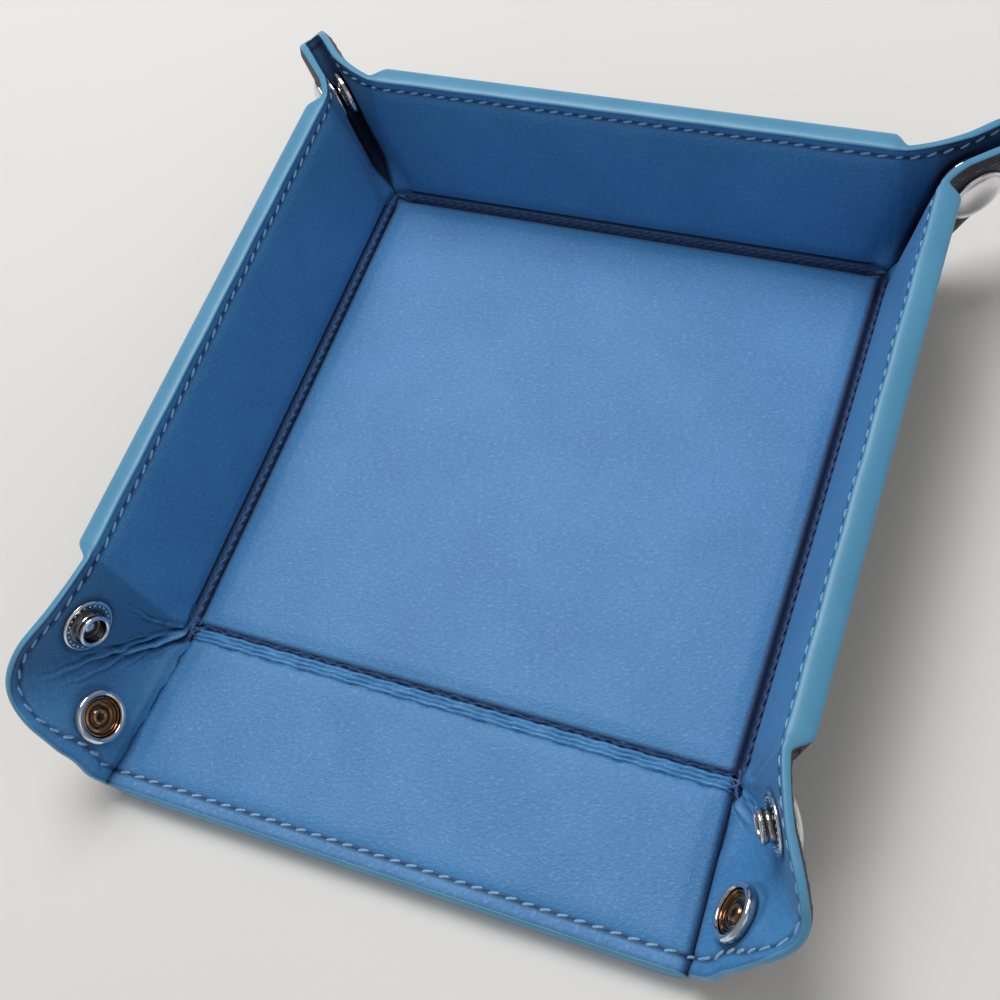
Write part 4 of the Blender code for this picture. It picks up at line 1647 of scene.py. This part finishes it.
@dataclass(frozen=True)
class SnapHalf:
    """One half of a snap with its outer cap, turned from profiles of (radius, height, painted
    shade).
    """

    kind: SnapKind
    node: str
    body: str
    chart: Chart
    spot: tuple[float, float]

    # The third number of each profile's points is how much painted shade and dark reflection it
    # gets.
    STUD_BODY = (
        (0.02, 0.0, 0), (5.9, -0.02, 0), (6.3, 0.1, 0), (6.38, 0.4, 0), (6.2, 0.68, 0),
        (5.85, 0.78, 0.1), (5.6, 0.74, 0.75), (4.75, 0.70, 0.8), (4.35, 0.74, 0.95), (4.0, 0.98, 1),
        (3.62, 1.3, 0.9), (3.42, 1.75, 0.15), (3.42, 2.15, 0.9), (3.62, 2.6, 0.5), (3.82, 2.95, 0),
        (3.92, 3.3, 0), (3.86, 3.6, 0), (3.62, 3.8, 0), (3.3, 3.84, 0), (3.0, 3.7, 0),
        (2.86, 3.45, 0.3), (2.82, 3.0, 1), (2.82, 1.5, 1), (2.6, 1.12, 1), (2.1, 1.0, 0.9),
        (1.75, 1.02, 0.4), (1.5, 1.3, 0.1), (1.0, 1.46, 0), (0.02, 1.5, 0))
    SOCKET_BODY = (
        (0.02, 0.0, 0), (6.0, -0.02, 0.6), (6.3, 0.2, 0.8), (6.42, 0.8, 0.5), (6.42, 1.5, 0.1),
        (6.28, 2.0, 0), (5.95, 2.32, 0), (5.55, 2.4, 0), (5.15, 2.3, 0), (4.9, 2.05, 0.3),
        (4.82, 1.7, 0.9), (4.86, 1.3, 1), (4.9, 0.7, 1), (4.7, 0.5, 1), (0.02, 0.48, 1))
    SOCKET_WELL = (
        (0.02, 0.45, 1), (4.72, 0.47, 1), (4.78, 1.35, 0.7), (4.6, 1.62, 0.1), (4.36, 1.66, 0),
        (4.2, 1.45, 0.6), (4.12, 1.05, 0.9), (3.9, 0.84, 0.8), (3.5, 0.8, 0.2), (3.3, 0.96, 0.1),
        (3.05, 1.0, 0.2), (2.85, 0.86, 0.7), (2.5, 0.78, 0.9), (2.15, 0.8, 0.8), (1.95, 1.05, 0.4),
        (1.8, 1.35, 0.1), (1.5, 1.5, 0), (1.15, 1.46, 0.2), (0.9, 1.2, 0.9), (0.7, 1.08, 1),
        (0.02, 1.05, 0.9))
    CAP_BODY = (
        (0.02, -2.2, 0), (7.1, -2.22, 0.6), (7.45, -2.5, 0.5), (7.56, -3.1, 0.1), (7.46, -3.42, 0),
        (7.15, -3.6, 0.1), (6.8, -3.66, 0.5), (6.55, -3.86, 0.1), (6.1, -4.16, 0),
        (5.0, -4.58, 0.1), (3.6, -4.92, 0.35), (2.0, -5.13, 0.5), (0.02, -5.2, 0.55))

    def turn(self, profile: tuple[tuple[float, float, float], ...], steps: int = 48,
             larger: float = 1.05) -> tuple[Array, Array]:
        """Turn a profile about the snap's axis: (r cos t, r sin t, h), carried as one rigid piece.

        Args:
            profile: Radius, height and painted shade.
            steps: Points round the axis.
            larger: What the radii of a half above the leather are multiplied by.

        Returns:
            One tube of rings, and each point's painted shade.
        """
        radius, height, shade_and_reflection = np.array(profile, dtype=float).T
        radius = radius * (larger if height.max() > 0 else 1.0)
        t = np.linspace(0.0, 2 * np.pi, steps, endpoint=False)
        plan = np.stack([self.spot[0] + radius[:, None] * np.cos(t),
                         self.spot[1] + radius[:, None] * np.sin(t)], axis=-1)
        flat = raised(plan, height[:, None])
        return self.chart.place(flat, np.array(self.spot))[None], np.repeat(shade_and_reflection, steps)

    def dots(self, count: int = 24, ring: float = 5.45) -> tuple[Array, Array]:
        """Set small plain domes in a ring on the stud's flange, with no painted shade.

        Args:
            count: How many.
            ring: The ring's radius.

        Returns:
            Tubes of rings, and each point's painted shade, which is none.
        """
        t = np.linspace(0.0, 2 * np.pi, count, endpoint=False)[:, None, None]
        around = np.linspace(0.0, 2 * np.pi, 8, endpoint=False)[None, None, :]
        rise = np.linspace(0.0, np.pi / 2 * 0.96, 4)[None, :, None]
        radius = 0.30 * np.cos(rise)
        plan = np.stack([self.spot[0] + ring * np.cos(t) + radius * np.cos(around),
                         self.spot[1] + ring * np.sin(t) + radius * np.sin(around)], axis=-1)
        rings = self.chart.place(raised(plan, 0.70 + 0.20 * np.sin(rise)), np.array(self.spot))
        return rings, np.zeros(rings[..., 0].size)

    def build(self, finishes: Finishes) -> None:
        """Build the half's pieces on its leaf.

        Args:
            finishes: The finishes, by name.
        """
        stud, cap = self.kind is SnapKind.STUD, self.node + "_cap"
        body = self.STUD_BODY if stud else self.SOCKET_BODY
        parts = [(self.node, self.turn(body), "chrome", (self.node,)),
                 (cap, self.turn(self.CAP_BODY), "chrome", (cap,))]
        if stud:
            parts.append((self.node + "_dots", self.dots(), "chrome", ()))
        else:
            parts.append((self.node + "_well", self.turn(self.SOCKET_WELL), "brass", ()))
        for name, (rings, shade_and_reflection), finish, nodes in parts:
            points, faces, caps = tubes(rings)
            item = write_mesh(name + "_turned", points, faces, finishes[finish], caps,
                              marks={"dark": shade_and_reflection}, sharp=50.0)
            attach(item, self.body)
            if nodes:
                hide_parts(*nodes)


@dataclass(frozen=True)
class CreaseCord:
    """The twisted bead that lies in a folded crease, or the thread in the flat one.

    It lies at a level over the lining's face and at a distance from the crease, and may wave.
    """

    name: str
    chart: Chart
    finish: str
    radius: float
    level: float
    at: float
    wave: float = 0.0
    replaces: tuple[str, ...] = ()
    steps: int = 560
    around: int = 16

    def build(self, finishes: Finishes) -> None:
        """Build the cord.

        Formula: a tube round (x, at + wave sin, level), of radius R (0.88 + 0.30 cos(2 t - w x)).

        Args:
            finishes: The finishes, by name.
        """
        run = HALF - 1.3
        x = np.linspace(-run, run, self.steps)
        t = np.linspace(0.0, 2 * np.pi, self.around, endpoint=False)
        ends = smooth((run - np.abs(x)) / 2.0) * 0.75 + 0.25
        twist = 2 * t[None] - (2 * np.pi / CORD_PITCH) * x[:, None]
        radius = self.radius * ends[:, None] * (0.88 + 0.30 * np.cos(twist))
        sway = self.wave * (np.sin(x * 0.83) * 0.6 + np.sin(x * 1.91 + 1.0) * 0.4)
        flat = np.stack([np.broadcast_to(x[:, None], radius.shape),
                         self.at + sway[:, None] + radius * np.cos(t),
                         self.level + radius * np.sin(t)], axis=-1)
        lean = np.broadcast_to(np.array([0.0, self.at]), flat.shape[:-1] + (2,))
        points, faces, caps = tubes(self.chart.place(flat, lean)[None])
        uv = np.repeat(np.stack([x * UV_UNIT, np.zeros_like(x)], axis=-1), self.around, axis=0)
        item = write_mesh(self.name, points, faces, finishes[self.finish], caps, uv, sharp=70.0)
        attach(item, "base")
        if self.replaces:
            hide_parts(*self.replaces)


class Wire:
    """A socket of a material's node tree, which takes part in Python expressions."""

    def __init__(self, graph: Graph, socket: bpy.types.NodeSocket) -> None:
        """Keep the socket and the tree that it belongs to."""
        self.graph, self.socket = graph, socket

    def math(self, operation: str, first: Any, second: Any) -> Wire:
        """Add a Math node on two values."""
        return self.graph.add("ShaderNodeMath", {"operation": operation}, {0: first, 1: second})

    def __add__(self, other: Any) -> Wire:
        """Add."""
        return self.math("ADD", self, other)

    def __radd__(self, other: Any) -> Wire:
        """Add to a plain number."""
        return self.math("ADD", other, self)

    def __sub__(self, other: Any) -> Wire:
        """Subtract."""
        return self.math("SUBTRACT", self, other)

    def __rsub__(self, other: Any) -> Wire:
        """Subtract from a plain number."""
        return self.math("SUBTRACT", other, self)

    def __mul__(self, other: Any) -> Wire:
        """Multiply."""
        return self.math("MULTIPLY", self, other)

    def __rmul__(self, other: Any) -> Wire:
        """Multiply a plain number."""
        return self.math("MULTIPLY", other, self)

    def held(self) -> Wire:
        """Hold between 0 and 1."""
        return self.math("MINIMUM", self.math("MAXIMUM", self, 0.0), 1.0)

    def span(self, low: float, high: float) -> Wire:
        """Ease from 0 to 1 as the value goes from low to high."""
        return self.graph.add("ShaderNodeMapRange", {"interpolation_type": "SMOOTHSTEP"},
                              {"Value": self, "From Min": low, "From Max": high})


class Graph:
    """One material and the nodes that it is made of."""

    def __init__(self, name: str) -> None:
        """Start a material with nothing but its output."""
        self.material = bpy.data.materials.new(name)
        self.material.use_nodes = True
        self.tree = self.material.node_tree
        self.tree.nodes.clear()
        self.output = self.tree.nodes.new("ShaderNodeOutputMaterial")

    def add(self, kind: str, settings: dict[str, Any], values: dict[Any, Any],
            out: Any = 0) -> Wire:
        """Add a node.

        Args:
            kind: The node's type.
            settings: Its properties, set first.
            values: Numbers, colours or wires by socket.
            out: The output that is returned.

        Returns:
            The output.
        """
        node = self.tree.nodes.new(kind)
        for key, value in settings.items():
            setattr(node, key, value)
        for key, value in values.items():
            if isinstance(value, Wire):
                self.tree.links.new(value.socket, node.inputs[key])
            else:
                node.inputs[key].default_value = value
        return Wire(self, node.outputs[out])

    def mix(self, share: Any, first: Any, second: Any) -> Wire:
        """Mix two colours."""
        return self.add("ShaderNodeMix", {"data_type": "RGBA"},
                        {"Factor": share, 6: first, 7: second}, 2)

    def noise(self, place: Wire, scale: float, detail: float = 3.0, rough: float = 0.55,
              distortion: float = 0.0) -> Wire:
        """Add a noise texture's value."""
        values = {"Vector": place, "Scale": scale, "Detail": detail, "Roughness": rough,
                  "Distortion": distortion}
        return self.add("ShaderNodeTexNoise", {}, values)

    def mapped(self, place: Wire, scale: tuple[float, float, float], turn: float = 0.0) -> Wire:
        """Turn a place about z by degrees, then stretch it."""
        angles = (0.0, 0.0, math.radians(turn))
        about = self.add("ShaderNodeMapping", {}, {"Vector": place, "Rotation": angles})
        return self.add("ShaderNodeVectorMath", {"operation": "MULTIPLY"}, {0: about, 1: scale})

    def flat(self) -> Wire:
        """Read the flat pattern's UV map."""
        return self.add("ShaderNodeUVMap", {"uv_map": "flat"}, {})

    def object(self) -> Wire:
        """Read Object coordinates."""
        return self.add("ShaderNodeTexCoord", {}, {}, "Object")

    def mark(self, name: str) -> Wire:
        """Read one of the mesh's attributes."""
        return self.add("ShaderNodeAttribute", {"attribute_name": name}, {}, "Fac")

    def bump(self, height: Wire, strength: float, distance: float,
             normal: Wire | None = None) -> Wire:
        """Add a bump, on top of another one or none."""
        values = {"Height": height, "Strength": strength, "Distance": distance}
        if normal is not None:
            values["Normal"] = normal
        return self.add("ShaderNodeBump", {}, values)

    def finish(self, values: dict[str, Any]) -> bpy.types.Material:
        """Close the material with one Principled shader."""
        shader = self.add("ShaderNodeBsdfPrincipled", {}, values)
        self.tree.links.new(shader.socket, self.output.inputs["Surface"])
        return self.material


@dataclass(frozen=True)
class GrainedLeather:
    """The lining: fine rippled grain with bright crests, with painted shade in its grooves and
    painted highlights on wrinkle crests.
    """

    colour: Colour = (0.064, 0.262, 0.570, 1.0)
    crest: Colour = (0.155, 0.430, 0.770, 1.0)
    deep: Colour = (0.028, 0.135, 0.350, 1.0)
    groove: Colour = (0.004, 0.016, 0.066, 1.0)

    def make(self) -> bpy.types.Material:
        """Make the material.

        Returns:
            The material.
        """
        graph = Graph("grained_leather")
        place = graph.flat()
        ripple = graph.noise(graph.mapped(place, (0.5, 1.0, 1.0), -18.0), 165.0, 4.0, 0.6, 0.35)
        pebble = graph.add("ShaderNodeTexVoronoi", {"feature": "F1"},
                           {"Vector": place, "Scale": 260.0})
        cloud = graph.noise(place, 3.5, 3.0)
        fine = graph.noise(place, 420.0, 2.0)
        folds = graph.noise(graph.mapped(place, (1.0, 0.4, 1.0), -45.0), 40.0, 4.0, 0.6, 0.5)
        crumple, dark = graph.mark("crumple"), graph.mark("dark")
        base = graph.mix(cloud.span(0.3, 0.7), self.deep, self.colour)
        base = graph.mix(0.72, base, self.colour)
        base = graph.mix(ripple.span(0.50, 0.72) * 0.40, base, self.crest)
        base = graph.mix((1.0 - ripple.span(0.28, 0.46)) * 0.38, base, self.deep)
        # Painted shade in the troughs of the wrinkles.
        base = graph.mix(crumple * (1.0 - folds.span(0.36, 0.50)) * 0.22, base, self.deep)
        # Painted highlight where the dark mark is below 0.
        base = graph.mix((0.0 - dark).held() * 0.75, base, self.crest)
        # Painted shade where the dark mark is above 0.
        base = graph.mix(dark.held(), base, self.groove)
        grain = graph.bump(ripple + pebble * 0.35 + fine * 0.15, 0.50, 0.00028)
        normal = graph.bump(folds * crumple, 0.7, 0.0009, grain)
        rough = 0.46 - ripple.span(0.5, 0.75) * 0.10 + dark * 0.25
        return graph.finish({"Base Color": base, "Roughness": rough.held(), "Normal": normal,
                             "Specular IOR Level": 0.42, "Sheen Weight": 0.04})


@dataclass(frozen=True)
class CrossGrainLeather:
    """The cover: dark slate leather pressed with two crossing sets of fine lines."""

    colour: Colour = (0.010, 0.013, 0.021, 1.0)
    crest: Colour = (0.050, 0.060, 0.080, 1.0)

    def make(self) -> bpy.types.Material:
        """Make the material.

        Returns:
            The material.
        """
        graph = Graph("cross_grain_leather")
        place = graph.flat()
        waves = []
        for turn in (38.0, -42.0):
            wave = graph.add("ShaderNodeTexWave", {"bands_direction": "X"},
                             {"Vector": graph.mapped(place, (1.0, 1.0, 1.0), turn), "Scale": 42.0,
                              "Distortion": 2.4, "Detail": 2.0, "Detail Scale": 3.0})
            waves.append(wave)
        grid = waves[0] * waves[1]
        cloud = graph.noise(place, 5.0, 3.0)
        base = graph.mix(grid.span(0.15, 0.8) * 0.7 + cloud * 0.15, self.colour, self.crest)
        normal = graph.bump(grid + graph.noise(place, 300.0) * 0.2, 0.9, 0.00042)
        return graph.finish({"Base Color": base, "Roughness": (0.52 - grid * 0.12).held(),
                             "Normal": normal, "Specular IOR Level": 0.45})


@dataclass(frozen=True)
class EdgePaint:
    """The thick smooth paint along the leather's edge, its tone varying a little in soft clouds."""

    colour: Colour = (0.092, 0.325, 0.535, 1.0)
    shade: Colour = (0.055, 0.225, 0.410, 1.0)

    def make(self) -> bpy.types.Material:
        """Make the material.

        Returns:
            The material.
        """
        graph = Graph("edge_paint")
        place = graph.object()
        cloud = graph.noise(place, 60.0, 4.0)
        fine = graph.noise(place, 900.0, 2.0)
        base = graph.mix(cloud.span(0.35, 0.7), self.shade, self.colour)
        base = graph.mix(0.7, base, self.colour)
        normal = graph.bump(cloud + fine * 0.15, 0.25, 0.0006)
        return graph.finish({"Base Color": base, "Roughness": (0.36 + fine * 0.12).held(),
                             "Normal": normal, "Coat Weight": 0.15, "Coat Roughness": 0.25})


@dataclass(frozen=True)
class SewingThread:
    """Waxed sewing thread, its strands seen as fine slanted lines, darker by attribute."""

    name: str
    colour: Colour
    shade: Colour
    darker_tone: Colour = (0.012, 0.02, 0.045, 1.0)

    def make(self) -> bpy.types.Material:
        """Make the material.

        Returns:
            The material.
        """
        graph = Graph(self.name)
        place = graph.object()
        strand = graph.add("ShaderNodeTexWave", {"bands_direction": "DIAGONAL"},
                           {"Vector": place, "Scale": 900.0, "Distortion": 1.5, "Detail": 1.0})
        cloud = graph.noise(place, 700.0, 2.0)
        base = graph.mix((strand * 0.6 + cloud * 0.5).held(), self.shade, self.colour)
        base = graph.mix(graph.mark("dark"), base, self.darker_tone)
        normal = graph.bump(strand, 0.5, 0.0001)
        return graph.finish({"Base Color": base, "Roughness": (0.5 + cloud * 0.2).held(),
                             "Normal": normal})


@dataclass(frozen=True)
class PolishedMetal:
    """Plated metal with cloudy wear, with painted shade in its hollows and painted dark reflections
    by attribute.
    """

    name: str
    colour: Colour
    shade: Colour
    shade_and_reflection: Colour
    rough: float

    def make(self) -> bpy.types.Material:
        """Make the material.

        Returns:
            The material.
        """
        graph = Graph(self.name)
        place = graph.object()
        cloud = graph.noise(place, 260.0, 3.0)
        base = graph.mix(cloud.span(0.5, 0.8) * 0.6, self.colour, self.shade)
        # Painted shade in the hollows and painted dark reflections, by the dark mark.
        base = graph.mix(graph.mark("dark") * 0.92, base, self.shade_and_reflection)
        rough = self.rough + cloud.span(0.5, 0.8) * 0.05
        return graph.finish({"Base Color": base, "Metallic": 1.0, "Roughness": rough.held(),
                             "Normal": graph.bump(cloud, 0.08, 0.00008)})


@dataclass(frozen=True)
class FibreBoard:
    """Grey-brown fibre board with specks."""

    colour: Colour = (0.42, 0.36, 0.28, 1.0)
    speck: Colour = (0.24, 0.20, 0.15, 1.0)

    def make(self) -> bpy.types.Material:
        """Make the material.

        Returns:
            The material.
        """
        graph = Graph("fibre_board")
        place = graph.object()
        fibre = graph.noise(graph.mapped(place, (1.0, 4.0, 1.0)), 700.0, 4.0)
        base = graph.mix(fibre.span(0.5, 0.7), self.colour, self.speck)
        return graph.finish({"Base Color": base, "Roughness": (0.8 + fibre * 0.15).held(),
                             "Normal": graph.bump(fibre, 0.4, 0.0002)})


@dataclass(frozen=True)
class Stage:
    """The plain pale floor, the soft lights and the camera at the photograph's viewing angle.

    Places are in metres. The camera has its right, down and forward directions, and its lens in
    millimetres on a sensor 36 mm wide. The floor is a dish, with a height at each of its radii.
    """

    camera: tuple[float, float, float] = (0.1131, -0.16255, 0.32225)
    right: tuple[float, float, float] = (0.9218, 0.3358, -0.1937)
    down: tuple[float, float, float] = (0.2122, -0.8551, -0.4730)
    ahead: tuple[float, float, float] = (-0.3245, 0.3950, -0.8595)
    lens: float = 51.57
    radii: tuple[float, ...] = (0.001, 0.4, 1.2, 2.4, 3.2)
    heights: tuple[float, ...] = (0.0, 0.0, 0.0, 0.25, 1.2)
    below: float = 0.0002
    steps: int = 64

    def floor(self) -> None:
        """Lay the floor: a shallow dish that rises to a far rim, just below the tray."""
        t = np.linspace(0.0, 2 * np.pi, self.steps, endpoint=False)
        radius, height = np.array(self.radii)[:, None], np.array(self.heights)[:, None]
        rings = raised(np.stack([radius * np.cos(t), radius * np.sin(t)], axis=-1),
                       height - self.below)
        faces = quads(len(self.radii), self.steps, wrap=True).tolist()
        mesh = bpy.data.meshes.new("floor")
        mesh.from_pydata(rings.reshape(-1, 3).tolist(), [], faces + [list(range(self.steps))])
        mesh.shade_smooth()
        graph = Graph("pale_floor")
        cloud = graph.noise(graph.object(), 6.0, 2.0)
        base = graph.mix(cloud, (0.84, 0.83, 0.81, 1.0), (0.88, 0.87, 0.85, 1.0))
        mesh.materials.append(graph.finish({"Base Color": base, "Roughness": 0.9}))
        item = bpy.data.objects.new("floor", mesh)
        bpy.context.scene.collection.objects.link(item)

    def lamp(self, name: str, place: tuple[float, float, float], size: float, power: float,
             colour: tuple[float, float, float]) -> None:
        """Hang a soft square lamp that looks at the tray.

        Args:
            name: Its name.
            place: Where it hangs.
            size: Its side.
            power: Its power in watts.
            colour: Its colour.
        """
        light = bpy.data.lights.new(name, "AREA")
        light.shape, light.size, light.energy, light.color = "SQUARE", size, power, colour
        item = bpy.data.objects.new(name, light)
        item.location = place
        item.rotation_euler = (-Vector(place)).to_track_quat("-Z", "Y").to_euler()
        bpy.context.scene.collection.objects.link(item)

    def build(self) -> None:
        """Set up the floor, the lamps, the world and the camera."""
        self.floor()
        self.lamp("window", (-0.42, 0.50, 1.25), 0.8, 13.6, (1.0, 0.99, 0.98))
        self.lamp("fill", (0.9, -0.6, 0.9), 1.0, 1.3, (0.97, 0.98, 1.0))
        world = bpy.data.worlds.new("studio")
        world.use_nodes = True
        sky = world.node_tree.nodes["Background"]
        sky.inputs["Color"].default_value = (1.0, 1.0, 1.0, 1.0)
        sky.inputs["Strength"].default_value = 0.28
        scene = bpy.context.scene
        scene.world = world
        camera = bpy.data.cameras.new("camera")
        camera.lens, camera.sensor_width, camera.clip_start = self.lens, 36.0, 0.01
        item = bpy.data.objects.new("camera", camera)
        axes = (Vector(self.right), -Vector(self.down), -Vector(self.ahead))
        turn = Matrix([[axis[row] for axis in axes] for row in range(3)])
        item.matrix_world = Matrix.Translation(self.camera) @ turn.to_4x4()
        scene.collection.objects.link(item)
        scene.camera = item
        scene.view_settings.view_transform = "Standard"


def snap_reach(ear: Ear, own_side: bool) -> tuple[float, float]:
    """Return a rear snap's (q, p): as set on the side wall's leaf, mirrored on the other.

    Args:
        ear: The wall's ear.
        own_side: Whether it is the side wall's.

    Returns:
        How far out and how far up.
    """
    if own_side:
        return SNAP_OUT, SNAP_UP
    below = REAR_SIDE.diagonal().slant - math.atan2(SNAP_OUT, SNAP_UP)
    reach, angle = math.hypot(SNAP_OUT, SNAP_UP), ear.diagonal().slant - below
    return reach * math.sin(angle), reach * math.cos(angle)


@dataclass
class Tray:
    """The whole tray."""

    frame: dict[str, Any]
    finishes: Finishes

    def base(self) -> None:
        """Build the base panel."""
        form = BaseForm()
        spot = (HALF - BAND) * (2 * eased(100) - 1)
        plan = np.stack(np.meshgrid(spot, spot, indexing="ij"), axis=-1)
        zone = Zone("base", form, form, plan, Motion("base"), skins("base"))
        Dresser(self.finishes).dress(zone)
        for right, across in ((-1, "left"), (1, "right")):
            for back, along in ((-1, "front"), (1, "rear")):
                CornerPatch(f"{along}_{across}_corner", right, back).build(self.finishes)

    def side(self, corner: OpenCorner) -> None:
        """Build a side wall with its open front corner and its leaf of the rear ear.

        Args:
            corner: The open corner at its front end.
        """
        dresser, side, end = Dresser(self.finishes), corner.side.value, corner.front_end()
        chart = corner.chart()
        ears = (FRONT_SIDE, REAR_SIDE) if end < 0 else (REAR_SIDE, FRONT_SIDE)
        stud, socket = (SNAP_OUT, SNAP_UP), corner.socket_spot()
        rear = snap_reach(REAR_SIDE, True)
        snaps = ((end, *stud), (end, *socket), (-end, *rear))
        form = WallForm(chart, ears, corner, snaps)
        wall = Wall(f"{side}_wall", form, (-3.0, -2.0) if end < 0 else (-2.0, -3.0))
        wall.board(self.finishes["board"])
        zones = [wall.zone(), wall.band(), *FrontLeaves(corner, form).zones(),
                 *RearLeaf(f"{side}_rear", f"{side}_wall", form, -end, REAR_SIDE).zones()]
        for zone in zones:
            dresser.dress(zone)
        for kind, node, body, at, (out, up) in (
                (SnapKind.STUD, f"{side}_front_stud", f"{side}_front_leaf", end, stud),
                (SnapKind.SOCKET, f"front_{side}_socket", f"front_{side}_leaf", end, socket),
                (SnapKind.STUD, f"{side}_rear_stud", f"{side}_rear_leaf", -end, rear)):
            SnapHalf(kind, node, body, chart, (at * (HALF + out), up)).build(self.finishes)
        radius, finish = (0.78, "cord") if corner.side is Side.LEFT else (0.60, "navy")
        CreaseCord(f"{side}_crease_cord", chart, finish, radius, 0.20, -0.25).build(self.finishes)

    def rear(self) -> None:
        """Build the rear wall with its leaves of both rear ears."""
        out, up = snap_reach(REAR_REAR, False)
        form = WallForm(REAR, (REAR_REAR, REAR_REAR), None, ((-1, out, up), (1, out, up)))
        wall = Wall("rear_wall", form)
        wall.board(self.finishes["board"])
        zones = [wall.zone(), wall.band()]
        for side, end in (("left", -1), ("right", 1)):
            zones += RearLeaf(f"rear_{side}", "rear_wall", form, end, REAR_REAR).zones()
            SnapHalf(SnapKind.SOCKET, f"rear_{side}_socket", f"rear_{side}_leaf", REAR,
                     (end * (HALF + out), up)).build(self.finishes)
        for zone in zones:
            Dresser(self.finishes).dress(zone)
        CreaseCord("rear_crease_cord", REAR, "navy", 0.62, 0.15, -0.25).build(self.finishes)

    def front(self) -> None:
        """Build the front wall, which lies flat."""
        form = WallForm(FRONT, (None, None))
        wall = Wall("front_wall", form)
        wall.board(self.finishes["board"])
        for zone in (wall.zone(), wall.band()):
            Dresser(self.finishes).dress(zone)
        CreaseCord("front_crease_thread", FRONT, "navy", 0.38, -0.72, -1.85, 0.30,
                   ("base_thread",)).build(self.finishes)
        for end in (-1, 1):
            SeamGutter(end).build(self.finishes)
        for side in Side:
            CornerKnot(side).build(self.finishes)

    def boards(self) -> None:
        """Give the base's board its finish, as the frame has it."""
        item = self.frame["nodes"]["base_board"]
        item.data.materials.clear()
        item.data.materials.append(self.finishes["board"])

    def build(self) -> None:
        """Build every sub-assembly in order."""
        self.base()
        for corner in CORNERS:
            self.side(corner)
        self.rear()
        self.front()
        self.boards()


def make_finishes() -> Finishes:
    """Make every finish of the tray, by name.

    Returns:
        The materials.
    """
    finishes = {
        "lining": GrainedLeather(),
        "cover": CrossGrainLeather(),
        "edge": EdgePaint(),
        "thread": SewingThread("blue_thread", (0.38, 0.64, 0.90, 1.0), (0.11, 0.26, 0.50, 1.0)),
        "cord": SewingThread("lilac_cord", (0.085, 0.19, 0.42, 1.0), (0.010, 0.035, 0.14, 1.0)),
        "navy": SewingThread("navy_cord", (0.035, 0.085, 0.23, 1.0), (0.006, 0.016, 0.07, 1.0)),
        # Each metal's third colour is its painted shade and dark reflection.
        "chrome": PolishedMetal("polished_chrome", (0.78, 0.78, 0.80, 1.0),
                                (0.55, 0.54, 0.56, 1.0), (0.018, 0.018, 0.024, 1.0), 0.05),
        "brass": PolishedMetal("warm_brass", (0.50, 0.26, 0.13, 1.0), (0.22, 0.09, 0.045, 1.0),
                               (0.045, 0.014, 0.008, 1.0), 0.10),
        "board": FibreBoard(),
    }
    return {name: finish.make() for name, finish in finishes.items()}


def main() -> None:
    """Build the tray round its frame."""
    logging.basicConfig(level=logging.INFO, format="%(name)s %(message)s")
    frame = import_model()
    Tray(frame, make_finishes()).build()
    Stage().build()


if __name__ == "__main__":
    main()
